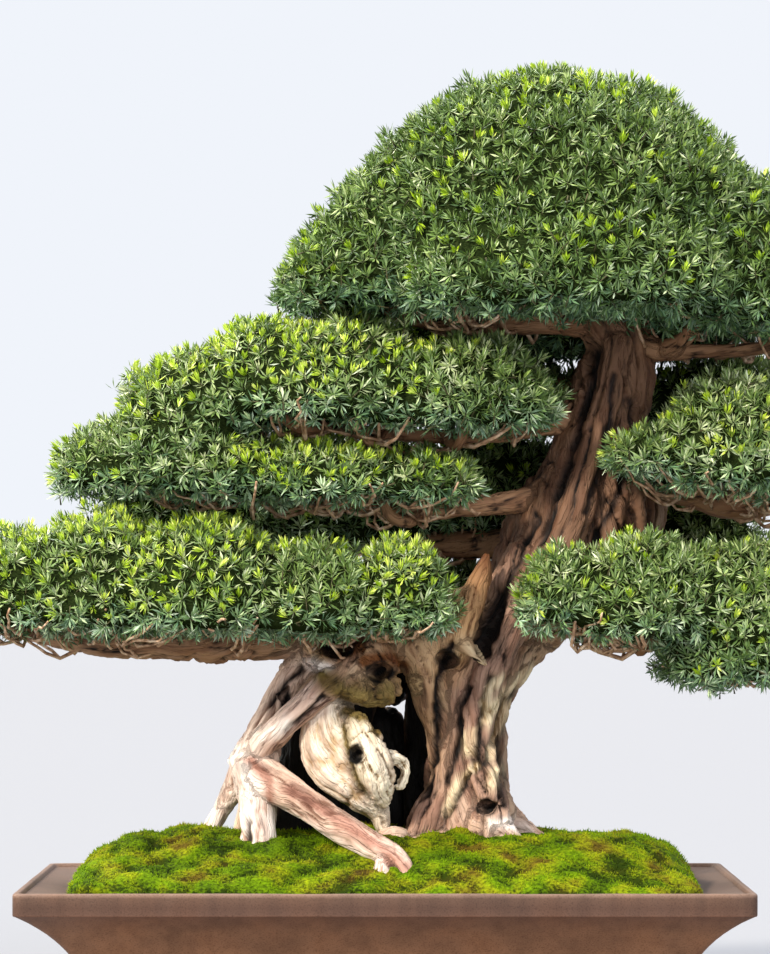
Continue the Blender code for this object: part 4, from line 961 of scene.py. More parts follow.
def disc_mesh(levels, x, y):
    """A closed disc between a lower and an upper height at each place of these rings."""
    rings, segments = x.shape
    points, faces = [], []
    for level, centre in levels:
        points.append((0, 0, centre))
        points += np.column_stack((x.ravel(), y.ravel(), level.ravel())).tolist()
    half = 1 + rings * segments
    for base, flip in ((0, True), (half, False)):
        made = [(base, base + 1 + i, base + 1 + (i + 1) % segments) for i in range(segments)]
        for low in range(base + 1, base + half - segments, segments):
            made += [(a, d, c, b) for a, b, c, d in quads_between(low, low + segments, segments)]
        faces += [face[::-1] for face in made] if flip else made
    faces += quads_between(half - segments, 2 * half - segments, segments)
    mesh = bpy.data.meshes.new("disc")
    mesh.from_pydata(np.array(points) * MM, [], faces)
    return mesh


HOLE_WARP = (2, 3)  # how far the holes are bent from side to side, and over what height
bm = bmesh.new()
for x, y, z, *halves in ROT_HOLES:
    made = bmesh.ops.create_icosphere(bm, subdivisions=3, radius=MM)
    bmesh.ops.scale(bm, vec=halves, verts=made["verts"])
    bmesh.ops.translate(bm, vec=Vector((x, y, z)) * MM, verts=made["verts"])
reach, length = HOLE_WARP
for v in bm.verts:
    v.co += v.co.normalized().cross((0, 1, 0)) * reach * MM * math.sin(v.co.z / (length * MM))
rot_holes = mesh_of("rot_holes", bm)
x, y = mound_rings(12, 48)
root_pruning = disc_mesh([(x * 0, 0), (soil_top(x, y) - ROOT_DEPTH, soil_top(0, 0) - ROOT_DEPTH)], x, y)

branch_names = [name for name in LIMBS if name.startswith(("branch_", "twig_"))]
trunk_names = [name for name in LIMBS if name not in branch_names]
trunk_mesh = weathered_piece(trunk_names, TRUNK_FACES, (rot_holes, root_pruning))
branch_mesh = weathered_piece(branch_names, BRANCH_FACES, ())

# Weathered yew: the finish mixes each limb's crease and ridge colours by how high a strand stands, the
# crease colours holding painted shade, then draws darker cracks and finer fibres along the grain, about 5
# and 2 mm apart, and stains that rain has drawn.
FIBRE = 1.8
FIBRE_STRETCH = 9
CRACK = 5
CRACK_STRETCH = 11
STAIN = 13
STAIN_STRETCH = 5
yew_wood, tree = new_material("weathered_yew_wood", Roughness=0.7, Specular_IOR_Level=0.3)
grain = add_node(tree, "Attribute", output="Vector", attribute_name="grain")
level = add_node(tree, "Attribute", output="Fac", attribute_name="ridge")
light = add_node(tree, "Attribute", output="Color", attribute_name="ridge_tint")
dark = add_node(tree, "Attribute", output="Color", attribute_name="crease_colour_and_shade")


def along_grain(tree, width, stretch, detail):
    """Noise drawn out along the grain, this many millimetres wide."""
    across = 1 / (width * MM)
    scaled = {0: grain, 1: (across, across, across / stretch)}
    scaled = add_node(tree, "VectorMath", scaled, operation="MULTIPLY")
    return add_node(tree, "TexNoise", {"Vector": scaled, "Scale": 1.0, "Detail": detail})


fibres = along_grain(tree, FIBRE, FIBRE_STRETCH, 3.0)
cracks = along_grain(tree, CRACK, CRACK_STRETCH, 2.0)
cracks = add_node(tree, "Math", {0: cracks, 1: 0.5}, operation="SUBTRACT")
cracks = add_node(tree, "Math", {0: cracks}, operation="ABSOLUTE")
crack_edge = {0: cracks, 1: 0.0, 2: 0.05, 3: 0.0, 4: 1.0}
cracks = add_node(tree, "MapRange", crack_edge, interpolation_type="SMOOTHSTEP")
stains = along_grain(tree, STAIN, STAIN_STRETCH, 4.0)
lifted = add_node(tree, "Math", {0: fibres, 1: 1.5, 2: -0.85}, operation="MULTIPLY_ADD")
lifted = add_node(tree, "Math", {0: cracks, 1: 0.09, 2: lifted}, operation="MULTIPLY_ADD")
level = add_node(tree, "Math", {0: level, 1: lifted}, operation="ADD")
crease_to_ridge = {0: level, 1: -0.15, 2: 0.85, 3: 0.0, 4: 1.0}
level = add_node(tree, "MapRange", crease_to_ridge, interpolation_type="SMOOTHSTEP")
colour = add_node(tree, "Mix", {0: level, 6: dark, 7: light}, 2, data_type="RGBA")
stains = add_node(
    tree, "ValToRGB", {0: stains},
    stops=[(0.30, "#9c8478"), (0.43, "#dccbc0"), (0.55, "#fffdf8"), (0.68, "#fff8f0"), (0.78, "#eecabb")],
)
stained = {0: 0.8, 6: colour, 7: stains}
colour = add_node(tree, "Mix", stained, 2, data_type="RGBA", blend_type="MULTIPLY")
relief = add_node(tree, "Math", {0: cracks, 1: 0.9, 2: fibres}, operation="MULTIPLY_ADD")
wire(tree, colour, relief, 0.9, 0.9)
trunk_mesh.materials.append(yew_wood)
branch_mesh.materials.append(yew_wood)
as_piece("trunk_and_roots", trunk_mesh, "tree_wood", slot="wood")
as_piece("branches", branch_mesh, "tree_wood", slot="wood")


# The moss: one carpet of short upright moss over the soil, swollen into cushions, bright where it is young
# and on the tops, partly painted light, and brown where it has dried. It is a closed sheet with a fuzz of
# pointed stems, clear of the roots.
MOSS_THICKNESS = 7
MOSS_THINNEST = 1.5
MOSS_GAP = 0.3  # between it and the soil
MOSS_OVERHANG = 3
CUSHION_HEIGHT = 7
CUSHION_RADIUS = 34
CUSHION_COUNT = 90
CUSHION_SIZES = (0.6, 1.1)
TUSSOCK_SPACING = 16
TUSSOCK_HEIGHT = 8
TUSSOCK_SIZES = (0.4, 1.0)
MOSS_RINGS = 48
MOSS_SEGMENTS = 176
MOSS_STEMS = 18500
MOSS_STEM_LENGTHS = (1.4, 3.4)
MOSS_STEM_WIDTH = 1.5
MOSS_CLEARANCE = 2  # between its stems and the roots
CLEARANCE_REACH = 12  # how far from a stem roots are looked for
SEED = 11

draw = random.Random(SEED)
cushions = [
    (
        draw.uniform(-MOUND_HALF_LENGTH, MOUND_HALF_LENGTH),
        draw.uniform(-MOUND_HALF_DEPTH, MOUND_HALF_DEPTH),
        draw.uniform(*CUSHION_SIZES),
    )
    for _ in range(CUSHION_COUNT)
]
rng = np.random.default_rng(SEED)
columns = int(2 * MOUND_HALF_LENGTH / TUSSOCK_SPACING)
rows = int(2 * MOUND_HALF_DEPTH / TUSSOCK_SPACING)
tussocks = np.stack(np.meshgrid(np.arange(columns), np.arange(rows)), -1).reshape(-1, 2) + 0.5
tussocks = (tussocks + rng.uniform(-0.45, 0.45, tussocks.shape)) / (columns, rows) * 2 - 1
tussocks *= (MOUND_HALF_LENGTH, MOUND_HALF_DEPTH)
tussock_sizes = rng.uniform(*TUSSOCK_SIZES, len(tussocks))


def tussock_swell(x, y):
    """How high these places are on a tussock: 1 on the largest tops, 0 in the hollows between them."""
    swell = np.zeros_like(x)
    for (cx, cy), size in zip(tussocks, tussock_sizes):
        near = 1 - ((x - cx) ** 2 + (y - cy) ** 2) / (TUSSOCK_SPACING * (0.45 + 0.5 * size)) ** 2
        swell = np.maximum(swell, (0.35 + 0.65 * size) * np.sqrt(np.maximum(near, 0)))
    return swell


def moss_top(x, y):
    """The height of the moss at these places, with its cushions and the small tussocks on them."""
    swell = np.zeros_like(x)
    for cx, cy, size in cushions:
        near = 1 - ((x - cx) ** 2 + (y - cy) ** 2) / (CUSHION_RADIUS * size) ** 2
        swell = np.maximum(swell, size * near)
    small = TUSSOCK_HEIGHT * (tussock_swell(x, y) - 0.55)
    return soil_top(x, y) + MOSS_THICKNESS + CUSHION_HEIGHT * swell + small


x, y = mound_rings(MOSS_RINGS, MOSS_SEGMENTS)
edge = np.linspace(0, 1, MOSS_RINGS)[:, None] ** 12
x = x * (1 + edge * MOSS_OVERHANG / MOUND_HALF_LENGTH)
y = y * (1 + edge * MOSS_OVERHANG / MOUND_HALF_DEPTH)
under = soil_top(x, y) + MOSS_GAP
above = np.maximum(moss_top(x, y), under + MOSS_THINNEST) - edge**3
centre = float(moss_top(np.zeros(1), np.zeros(1))[0])
carpet = disc_mesh([(under, float(soil_top(0, 0)) + MOSS_GAP), (above, centre)], x, y)
points, triangles, normals = arrays_of(carpet)


def triangle_areas(corners):
    """Twice the area of each of these triangles."""
    return np.linalg.norm(np.cross(corners[:, 1] - corners[:, 0], corners[:, 2] - corners[:, 0]), axis=1)


corners = points[triangles]
facing = normals[triangles].mean(1)
areas = triangle_areas(corners)
areas = areas * (facing[:, 2] > -0.3)
areas[: len(triangles) // 2 - MOSS_SEGMENTS] = 0
picked = rng.choice(len(triangles), MOSS_STEMS, p=areas / areas.sum())
shares = rng.dirichlet((1, 1, 1), MOSS_STEMS)[..., None]
feet = (corners[picked] * shares).sum(1)
ways = unit(facing[picked] + (0, 0, 0.4) + rng.normal(0, 0.4, feet.shape))
trunk_points, trunk_triangles, _ = arrays_of(trunk_mesh)
trunk_tree = BVHTree.FromPolygons(trunk_points.tolist(), trunk_triangles.tolist())
clear = []
for i, foot in enumerate(feet):
    spot, normal, _, gap = trunk_tree.find_nearest(Vector(foot), CLEARANCE_REACH * MM)
    if spot is None or (gap > MOSS_CLEARANCE * MM and (Vector(foot) - spot).dot(normal) > 0):
        clear.append(i)
feet, ways = feet[clear], ways[clear]


def frames_across(ways):
    """Two directions at right angles to each of these, and to each other."""
    helper = np.where(np.abs(ways[:, 2:]) < 0.9, (0.0, 0.0, 1.0), (1.0, 0.0, 0.0))
    first = unit(np.cross(helper, ways))
    return first, np.cross(ways, first)


def spikes(feet, ways, lengths, width, rng):
    """Closed three-sided spikes as points and triangles."""
    p, q = frames_across(ways)
    start = rng.random(len(feet))[:, None] * 2 * math.pi
    ring = [
        feet - ways * 1.0 * MM + (p * np.cos(start + turn) + q * np.sin(start + turn)) * (width / 2 * MM)
        for turn in (0, 2 * math.pi / 3, 4 * math.pi / 3)
    ]
    made = np.stack([*ring, feet + ways * (lengths * MM)[:, None]], axis=1).reshape(-1, 3)
    base = np.arange(len(feet))[:, None, None] * 4
    return made, (base + np.array([(0, 2, 1), (0, 1, 3), (1, 2, 3), (2, 0, 3)])).reshape(-1, 3)


lengths = rng.uniform(*MOSS_STEM_LENGTHS, len(feet))
stems, stem_faces = spikes(feet, ways, lengths, MOSS_STEM_WIDTH, rng)
moss_points = np.vstack([points, stems])
moss_faces = np.vstack([triangles, stem_faces + len(points)])
young = np.zeros(len(moss_points), np.float32)
young[len(points):] = np.tile((0.0, 0.0, 0.0, 0.5), len(feet))
swell = tussock_swell(*(moss_points[:, :2] / MM).T)
moss_mesh = mesh_from_arrays("moss", moss_points, moss_faces, ())
attach(moss_mesh, "young", "FLOAT", young)
attach(moss_mesh, "swell", "FLOAT", swell)

# Upright moss: soft and matte; its stem tips are painted lighter, for their young colour and the light that
# shines through them. The tops of its cushions are yellow-green and the hollows between them near-black
# green: partly the moss's own colour, partly painted light on the tops and painted shade in the hollows.
# Patches a few centimetres wide have dried to brown.
DRY_PATCH = 34
LEAFLET = 2.6
living_moss, tree = new_material("living_moss", Roughness=0.9, Specular_IOR_Level=0.08)
place = add_node(tree, "TexCoord", output="Object")
young = add_node(tree, "Attribute", output="Fac", attribute_name="young")
swell = add_node(tree, "Attribute", output="Fac", attribute_name="swell")
patch = add_node(tree, "TexNoise", {"Vector": place, "Scale": 1 / (DRY_PATCH * MM), "Detail": 3.0})
speck = add_node(tree, "TexNoise", {"Vector": place, "Scale": 1 / (LEAFLET * MM), "Detail": 2.0})
deep = add_node(
    tree, "ValToRGB", {0: patch},
    stops=[(0.30, "#172303"), (0.46, "#223102"), (0.56, "#2e3604"), (0.66, "#332908")],
)
tips = add_node(
    tree, "ValToRGB", {0: patch},
    stops=[(0.30, "#547404"), (0.46, "#6f8d06"), (0.58, "#979f12"), (0.68, "#776a18"), (0.76, "#5f4d18")],
)
mixed = add_node(tree, "Math", {0: speck, 1: 1.8, 2: -1.35}, operation="MULTIPLY_ADD")
mixed = add_node(tree, "Math", {0: swell, 1: 1.15, 2: mixed}, operation="MULTIPLY_ADD")
mixed = add_node(tree, "Math", {0: mixed, 1: young}, operation="ADD", use_clamp=True)
wire(tree, add_node(tree, "Mix", {0: mixed, 6: deep, 7: tips}, 2, data_type="RGBA"))
moss_mesh.materials.append(living_moss)
as_piece("moss_carpet", moss_mesh, "moss", slot="moss")


# Foliage: yew shoots in clipped pads. Each shoot is a thin stem with a rosette of flat, pointed needles at
# its tip; new growth is short, upright and bright. Inside a pad it is twiggy, and its core is painted near
# black as painted shade. A pad's shape is domes of (x, y, z of the widest level, half length, half depth,
# height), out to the needle tips.
PADS = {
    "foliage_crown": [
        (145, 0, 612, 200, 165, 196), (8, -12, 612, 84, 100, 112), (-28, -18, 610, 70, 92, 70),
        (305, -8, 594, 115, 118, 120), (150, -95, 606, 150, 95, 95), (155, 100, 580, 160, 95, 136),
    ],
    "foliage_left_upper": [
        (62, -62, 508, 90, 78, 68), (-38, -52, 512, 96, 88, 84), (-95, -45, 518, 70, 80, 78),
        (-150, -42, 506, 80, 76, 60), (-166, -46, 466, 76, 78, 90), (-222, -28, 456, 66, 70, 52),
        (-150, -48, 452, 90, 84, 48), (-58, -62, 446, 88, 78, 44), (30, -58, 445, 58, 58, 38),
    ],
    "foliage_left_low": [
        (10, -92, 337, 54, 54, 73), (-62, -84, 337, 72, 78, 73), (-150, -74, 338, 92, 96, 86),
        (-238, -56, 338, 90, 94, 90), (-304, -38, 338, 76, 86, 80), (-356, -26, 340, 64, 66, 58),
    ],
    "foliage_right_middle": [
        (228, -72, 468, 50, 55, 36), (292, -62, 456, 76, 74, 92), (352, -35, 446, 68, 74, 104),
    ],
    "foliage_right_low": [
        (150, -92, 342, 50, 55, 62), (220, -88, 332, 76, 78, 84), (300, -70, 294, 80, 80, 116),
        (360, -40, 292, 60, 72, 108),
    ],
    "foliage_back_upper": [
        (-40, 114, 545, 105, 68, 36), (85, 124, 536, 110, 74, 28), (200, 126, 512, 95, 74, 50),
        (300, 110, 486, 90, 72, 88),
    ],
    "foliage_back_left": [
        (-70, 124, 410, 120, 72, 96), (-182, 108, 412, 72, 64, 92), (0, 126, 418, 76, 66, 86),
        (92, 128, 420, 100, 66, 86),
    ],
    "foliage_back_low": [
        (200, 132, 346, 80, 72, 50), (262, 116, 364, 84, 70, 94), (62, 128, 340, 82, 62, 50),
        (130, 132, 346, 70, 68, 48),
    ],
}
SOLE_DEPTHS = {"foliage_crown": 24}
SOLE_DEPTH = 20  # how far a pad bulges below its widest level
SOLE_FULLNESS = 0.5  # below its widest level a pad is nearly flat, not round
PAD_VOXEL = 6
CORE_VOXEL = 9
CLUMP_RELIEF = 6  # its outline swells and sinks by this much
CLUMP_SIZE = 45
SHOOT_SPACING = 9.2
SHOOT_TIP_DEPTH = 7  # of the stem's end, under the pad's outline
SHOOT_LENGTH = 8
SHOOT_FOOT = 6  # how much further in its bare stem goes
SHOOT_WIDTH = 1.8
NEEDLES_ON_SHOOT = 20
NEEDLES_ON_INNER_SHOOT = 12
INNER_SHOOT_DEPTHS = (4, 9)  # under the outer ones
INNER_SHOOT_SPREAD = 4.5
INNER_SHADE = 0.38  # how much darker their needles are painted, as painted shade deep in the pad
NEEDLE_LENGTH = 10.5
NEEDLE_WIDTH = 1.9
NEEDLE_THICKNESS = 0.5
NEEDLE_WIDEST = 0.5  # of the way to its tip
NEEDLE_LEAN = (18, 62)  # degrees from the shoot at its tip, and how many more at its foot
NEEDLE_DISORDER = (0.3, 0.26, 0.4)  # radians by which its turn, lean and roll vary
YOUNG_LEAN = 0.6  # young needles stand closer to the shoot
YOUNG_LENGTH = 0.85
CORE_DEPTH = 14
CORE_SOLE = 11
SUNWARD = (-0.45, -0.25, 0.75)
THIN_PATCH = 26  # the size of the patches where shoots stand further apart
TONE_PATCH = 30  # of those of lighter and darker needles
FRESH_PATCH = 60  # of those of new growth
SHOOT_SPREAD = 3.4  # how far tips stand in and out
SHOOT_DISORDER = 0.55
INNER_SHOOT_DISORDER = 0.6
GOLDEN_ANGLE = math.radians(137.5)
# How much of each pad is new growth, more of it where the light falls; its bright needles are partly real new
# growth and partly painted light on the sunlit side.
NEW_GROWTH = {
    "foliage_crown": 0.4, "foliage_left_upper": 0.75, "foliage_left_low": 1.1,
    "foliage_right_middle": 0.28, "foliage_right_low": 0.28,
}
NEW_GROWTH_BEHIND = 0.24
PAINTED_PAD_SHADE = {"foliage_crown": -0.26}  # the crown's needles are painted darker, as painted shade


def pad_skin(name, shrink, sole, voxel):
    """The lumpy outline of a pad's domes, drawn in by this many millimetres."""
    bm = bmesh.new()
    for x, y, z, half_x, half_y, height in PADS[name]:
        made = bmesh.ops.create_icosphere(bm, subdivisions=4, radius=1)
        for v in made["verts"]:
            rise = v.co.z * (height - shrink) if v.co.z > 0 else -((-v.co.z) ** SOLE_FULLNESS) * sole
            place = (x + v.co.x * (half_x - shrink), y + v.co.y * (half_y - shrink), z + rise)
            v.co = Vector(place) * MM
    domes = link_object("domes", mesh_of("domes", bm))
    add_modifier(domes, "REMESH", mode="VOXEL", voxel_size=voxel * MM)
    points, triangles, normals = arrays_of(evaluated(domes))
    lumps = noise_at(points / (CLUMP_SIZE * MM), 3) + 0.5 * noise_at(points / (CLUMP_SIZE / 2 * MM), 4)
    return points + normals * (lumps * CLUMP_RELIEF / 1.5 * MM)[:, None], triangles, normals


def scatter(points, triangles, normals, spacing, sparseness, rng):
    """Places on a surface and their normals, about this far apart times sparseness(places, normals)."""
    corners = points[triangles]
    areas = triangle_areas(corners) / 2
    count = int(areas.sum() / spacing**2 * 6)
    picked = rng.choice(len(triangles), count, p=areas / areas.sum())
    a, b = rng.random((2, count, 1))
    fold = a + b > 1
    a, b = np.where(fold, 1 - a, a), np.where(fold, 1 - b, b)
    shares = np.stack([1 - a - b, a, b], axis=1)
    places = (corners[picked] * shares).sum(1)
    ways = unit((normals[triangles][picked] * shares).sum(1))
    room = spacing * sparseness(places, ways)
    cell = room.max()
    grid = {}
    kept = []
    for i, (place, own) in enumerate(zip(places, room)):
        kx, ky, kz = (place // cell).astype(int)
        around = product((kx - 1, kx, kx + 1), (ky - 1, ky, ky + 1), (kz - 1, kz, kz + 1))
        gaps = (places[other] - place for key in around for other in grid.get(key, ()))
        if all(gap @ gap >= own * own for gap in gaps):
            grid.setdefault((kx, ky, kz), []).append(i)
            kept.append(i)
    return places[kept], ways[kept]


def grow_needles(tips, axes, fresh, count, tone, rng):
    """This many needles for each of these shoots, as pointed blades folded along the midrib."""
    p, q = frames_across(axes)
    height = np.arange(count) / (count - 1)  # 0 at the shoot's tip, 1 at its foot
    turn = GOLDEN_ANGLE * np.arange(count) + rng.random((len(tips), 1)) * 2 * math.pi
    turn = turn + rng.normal(0, NEEDLE_DISORDER[0], turn.shape)
    lean = np.radians(NEEDLE_LEAN[0] + NEEDLE_LEAN[1] * height**0.8)
    lean = lean + rng.normal(0, NEEDLE_DISORDER[1], turn.shape)
    size = NEEDLE_LENGTH * (0.7 + 0.4 * np.sin(math.pi * np.clip(height * 0.8 + 0.15, 0, 1)))
    size = size * rng.uniform(0.78, 1.12, turn.shape) * rng.uniform(0.8, 1.14, (len(tips), 1))
    young = (fresh[:, None] > 0) & (height < 0.5)
    lean = np.where(young, lean * YOUNG_LEAN, lean)
    size = np.where(young, size * YOUNG_LENGTH, size)
    around = np.cos(turn)[..., None] * p[:, None] + np.sin(turn)[..., None] * q[:, None]
    way = axes[:, None] * np.cos(lean)[..., None] + around * np.sin(lean)[..., None]
    way[..., 2] += 0.1
    way = unit(way)
    foot = tips[:, None] - axes[:, None] * (height * SHOOT_LENGTH * MM)[None, :, None] + around * 0.4 * MM
    flat = unit(np.cross(axes[:, None], way))
    up = np.cross(way, flat)
    roll = rng.normal(0, NEEDLE_DISORDER[2], turn.shape)[..., None]
    flat, up = flat * np.cos(roll) + up * np.sin(roll), up * np.cos(roll) - flat * np.sin(roll)
    long = (size * MM)[..., None]
    half = NEEDLE_WIDTH / 2 * MM * rng.uniform(0.8, 1.15, turn.shape)[..., None]
    thick = NEEDLE_THICKNESS / 2 * MM
    middle = foot + way * long * NEEDLE_WIDEST - up * thick
    tip = foot + way * long + up * thick
    corners = np.stack([foot + up * thick, middle + flat * half, middle - flat * half, tip], axis=2)
    base = np.arange(corners.size // 12)[:, None, None] * 4
    sides = np.array([(0, 1, 3), (0, 3, 2)])
    patchy = tone + 0.22 * noise_at(tips / (TONE_PATCH * MM), 15)[:, None] + rng.normal(0, 0.12, (len(tips), 1))
    shade = np.clip(rng.normal(0.03, 0.25, turn.shape) + patchy, 0, 1)
    age = np.where(young, rng.uniform(0.65, 1.0, turn.shape), rng.uniform(0, 0.22, turn.shape))
    faces = (base + sides).reshape(-1, 3)
    return corners.reshape(-1, 3), faces, np.repeat(age.ravel(), 4), np.repeat(shade.ravel(), 4)


# Yew needles: leathery, with a waxy gloss above. Old ones are deep green, greyer from below, new ones
# yellow-green. The mesh carries how young each needle is, its shade, and how low on the pad it grows.
needle, tree = new_material("yew_needles", Roughness=0.34, Specular_IOR_Level=0.6)
tone = add_node(tree, "Attribute", output="Color", attribute_name="needle_tone")
share = add_node(tree, "SeparateColor", {0: tone}).node.outputs
# The palest stop of the old and of the shaded ramp paints glints on the brightest needles: painted highlights.
old, shaded, new = (
    add_node(tree, "ValToRGB", {0: share["Green"]}, stops=stops)
    for stops in (
        [(0.0, "#3c552c"), (0.45, "#6f8a50"), (0.8, "#a0b07c"), (1.0, "#ced6b2")],
        [(0.0, "#33503a"), (0.45, "#5a8062"), (0.8, "#90ac8e"), (1.0, "#c0d2b8")],
        [(0.0, "#8cae12"), (0.5, "#bfdc2c"), (1.0, "#e6f06c")],
    )
)
by_height = add_node(tree, "Mix", {0: share["Blue"], 6: old, 7: shaded}, 2, data_type="RGBA")
wire(tree, add_node(tree, "Mix", {0: share["Red"], 6: by_height, 7: new}, 2, data_type="RGBA"))

# Green shoots turn to thin brown bark as they age.
shoot_bark, tree = new_material("young_shoot_bark", Roughness=0.7)
grain = add_node(tree, "TexNoise", {"Scale": 1 / (6 * MM), "Detail": 3.0})
thin = add_node(tree, "ValToRGB", {0: grain}, stops=[(0.3, "#33301a"), (0.6, "#4f4a26"), (0.8, "#5e6a34")])
wire(tree, thin)

# The inside of a pad: a core painted near black, as painted shade deep among its twigs and old needles.
inside, tree = new_material("painted_shade_inside_of_pad", Roughness=1.0, Specular_IOR_Level=0.0)
grain = add_node(tree, "TexNoise", {"Scale": 1 / (5 * MM), "Detail": 4.0})
dim = add_node(tree, "ValToRGB", {0: grain}, stops=[(0.35, "#131a0b"), (0.55, "#222d14"), (0.7, "#33391e")])
wire(tree, dim)


def make_pad(name):
    rng = np.random.default_rng([SEED, len(name), *name.encode()])
    sole = SOLE_DEPTHS.get(name, SOLE_DEPTH)
    points, triangles, normals = pad_skin(name, SHOOT_TIP_DEPTH, sole - SHOOT_TIP_DEPTH, PAD_VOXEL)

    def sparseness(places, ways):
        below = np.clip(-ways[:, 2] - 0.45, 0, 0.5) / 0.5
        return 1 + 0.22 * noise_at(places / (THIN_PATCH * MM), 7) + 0.25 * below

    tips, out = scatter(points, triangles, normals, SHOOT_SPACING * MM, sparseness, rng)
    tips = tips + out * rng.normal(-0.8, SHOOT_SPREAD, (len(tips), 1)) * MM
    axes = unit(out + (0, 0, 0.4) + rng.normal(0, SHOOT_DISORDER, out.shape))
    sunny = np.clip(out @ unit(np.array(SUNWARD)) + 0.15, 0, 1)
    patch = np.clip(0.55 + 0.9 * noise_at(tips / (FRESH_PATCH * MM), 9), 0, 1.4)
    share = NEW_GROWTH.get(name, NEW_GROWTH_BEHIND) * sunny * patch * 1.6
    fresh = (rng.random(len(tips)) < share) * 1.0
    low = np.clip(0.45 - 1.1 * out[:, 2], 0, 1)
    tone = 0.5 + PAINTED_PAD_SHADE.get(name, 0)
    outer, outer_faces, outer_age, outer_shade = grow_needles(tips, axes, fresh, NEEDLES_ON_SHOOT, tone, rng)
    sunk = rng.uniform(*INNER_SHOOT_DEPTHS, (len(tips), 1))
    roots = tips - out * sunk * MM + rng.normal(0, INNER_SHOOT_SPREAD * MM, tips.shape)
    leaning = unit(out + (0, 0, 0.3) + rng.normal(0, INNER_SHOOT_DISORDER, out.shape))
    inner, inner_faces, inner_age, inner_shade = grow_needles(
        roots, leaning, 0 * fresh, NEEDLES_ON_INNER_SHOOT, tone - INNER_SHADE, rng
    )
    needles, needle_faces = np.vstack([outer, inner]), np.vstack([outer_faces, inner_faces + len(outer)])
    lows = np.concatenate([np.repeat(low, each * 4) for each in (NEEDLES_ON_SHOOT, NEEDLES_ON_INNER_SHOOT)])
    ages, shades = np.concatenate([outer_age, inner_age]), np.concatenate([outer_shade, inner_shade])
    reach = SHOOT_LENGTH + SHOOT_FOOT
    bare = tips - axes * reach * MM
    stems, stem_faces = spikes(bare, axes, np.full(len(tips), float(reach)), SHOOT_WIDTH, rng)
    core, core_faces, _ = pad_skin(name, CORE_DEPTH, CORE_SOLE, CORE_VOXEL)
    tones = np.zeros((len(needles) + len(stems) + len(core), 4), np.float32)
    tones[: len(needles)] = np.stack([ages, shades, lows, np.ones(len(lows))], axis=1)
    places = np.vstack([needles, stems, core])
    faces = np.vstack([needle_faces, stem_faces + len(needles), core_faces + len(needles) + len(stems)])
    kinds = np.repeat((0, 1, 2), (len(needle_faces), len(stem_faces), len(core_faces)))
    mesh = mesh_from_arrays(name + "_needles", places, faces, (needle, shoot_bark, inside), kinds)
    attach(mesh, "needle_tone", "FLOAT_COLOR", tones)
    as_piece(name + "_needles", mesh, name, slot="needles")


for pad in PADS:
    make_pad(pad)


# Under the pads: thin bare twigs fork from each branch and fan out into the pad that they carry. Their bark
# is thin, pale brown and finely scaly.
TWIGS_UNDER_PAD = 62
TWIG_SIDES = 4
TWIG_STEPS = 6
TWIG_RADIUS = 2.1  # at its foot
TWIG_TAPER = 0.4
TWIG_DIPS = (14, 44)  # how far the middle of its bow is drawn down
TWIG_WANDER = 1.6
TWIG_LENGTH = 48
TWIG_LONGEST = 95
TWIG_END = 6  # how far it ends inside the pad's core
TWIG_FORK_STEP = 2  # where it forks
TWIG_FORK_SPREAD = 16
TWIG_FORK_WIDTH = 0.7  # of its own radius
TWIG_CHOICES = 12  # of the likeliest places on the branches that it may leave from
BARK_SCALE = 7

twig_bark, tree = new_material("yew_twig_bark", Roughness=0.75, Specular_IOR_Level=0.3)
place = add_node(tree, "TexCoord", output="Object")
scaly = add_node(tree, "TexNoise", {"Vector": place, "Scale": 1 / (BARK_SCALE * MM), "Detail": 3.0})
pale = add_node(tree, "ValToRGB", {0: scaly}, stops=[(0.32, "#7a5840"), (0.5, "#c09a78"), (0.7, "#ecd2b4")])
wire(tree, pale, scaly, 0.7, 0.6)


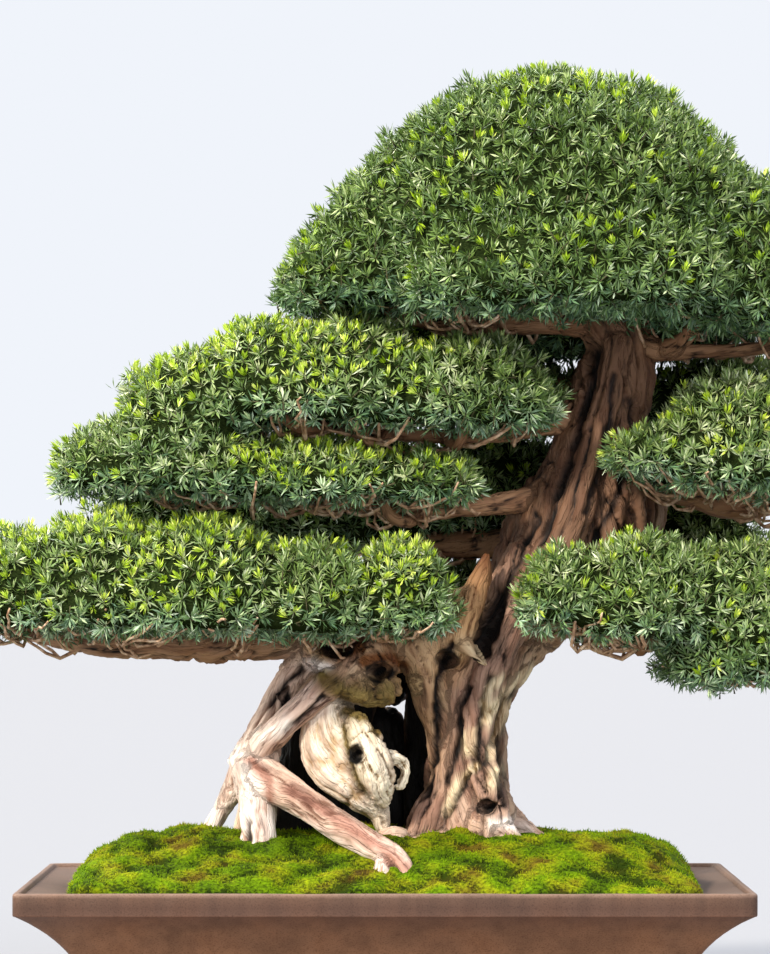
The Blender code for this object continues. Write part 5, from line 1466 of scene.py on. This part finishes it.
def bent_twig(start, bend, end, radius, rng):
    """A tube that leaves its branch towards the bend and turns to its end: points, triangles, path."""
    t = np.linspace(0, 1, TWIG_STEPS)[:, None]
    path = (1 - t) ** 2 * start + 2 * t * (1 - t) * bend + t**2 * end
    path[1:-1] += rng.normal(0, TWIG_WANDER * MM, (TWIG_STEPS - 2, 3))
    ahead = unit(np.gradient(path, axis=0))
    level, _ = frames_across(unit(end - start)[None])
    side = unit(level - ahead * (ahead * level).sum(1, keepdims=True))
    other = np.cross(ahead, side)
    wide = radius * (1 - TWIG_TAPER * t) * MM
    turns = [2 * math.pi * k / TWIG_SIDES for k in range(TWIG_SIDES)]
    rings = np.stack([path + (side * math.cos(a) + other * math.sin(a)) * wide for a in turns], axis=1)
    faces = []
    last = (TWIG_STEPS - 1) * TWIG_SIDES
    for low in range(0, last, TWIG_SIDES):
        for a, b, c, d in quads_between(low, low + TWIG_SIDES, TWIG_SIDES):
            faces += [(a, b, c), (a, c, d)]
    for i in range(1, TWIG_SIDES - 1):
        faces += [(0, i + 1, i), (last, last + i, last + i + 1)]
    return rings.reshape(-1, 3), np.array(faces), path


stations = np.vstack([COURSES[name][0] for name in branch_names])
station_ways = np.vstack([COURSES[name][2] for name in branch_names])
rng = np.random.default_rng(SEED)
twig_points, twig_faces, count = [], [], 0
for pad in PADS:
    core, _, normals = pad_skin(pad, CORE_DEPTH, CORE_SOLE, CORE_VOXEL)
    below = core[normals[:, 2] < -0.5]
    for target in below[rng.choice(len(below), TWIGS_UNDER_PAD)]:
        away = np.linalg.norm(stations - target, axis=1)
        fit = np.abs(away - TWIG_LENGTH * MM) + np.maximum(stations[:, 2] - target[2], 0)
        station = rng.choice(np.argsort(fit)[:TWIG_CHOICES])
        if away[station] > TWIG_LONGEST * MM:
            continue
        start = stations[station]
        forward = station_ways[station] * np.sign(station_ways[station] @ (target - start))
        end = target + (0, 0, TWIG_END * MM)
        dip = (0, 0, rng.uniform(*TWIG_DIPS) * MM)
        bend = (start + end) / 2 + forward * 0.25 * away[station] - dip + rng.normal(0, 4 * MM, 3)
        made = [bent_twig(start, bend, end, TWIG_RADIUS * rng.uniform(0.75, 1.2), rng)]
        fork = made[0][2][TWIG_FORK_STEP]
        spread = rng.normal(0, TWIG_FORK_SPREAD * MM, 3) * (1, 1, 0.2)
        bend = (fork + end) / 2 + 0.8 * spread - (0, 0, TWIG_END * MM)
        made.append(bent_twig(fork, bend, end + spread, TWIG_RADIUS * TWIG_FORK_WIDTH, rng))
        for points, faces, _ in made:
            twig_points.append(points)
            twig_faces.append(faces + count)
            count += len(points)
twigs = mesh_from_arrays("twigs", np.vstack(twig_points), np.vstack(twig_faces), (twig_bark,))
twigs.shade_smooth()
as_piece("fine_twigs", twigs, "tree_wood", slot="wood")
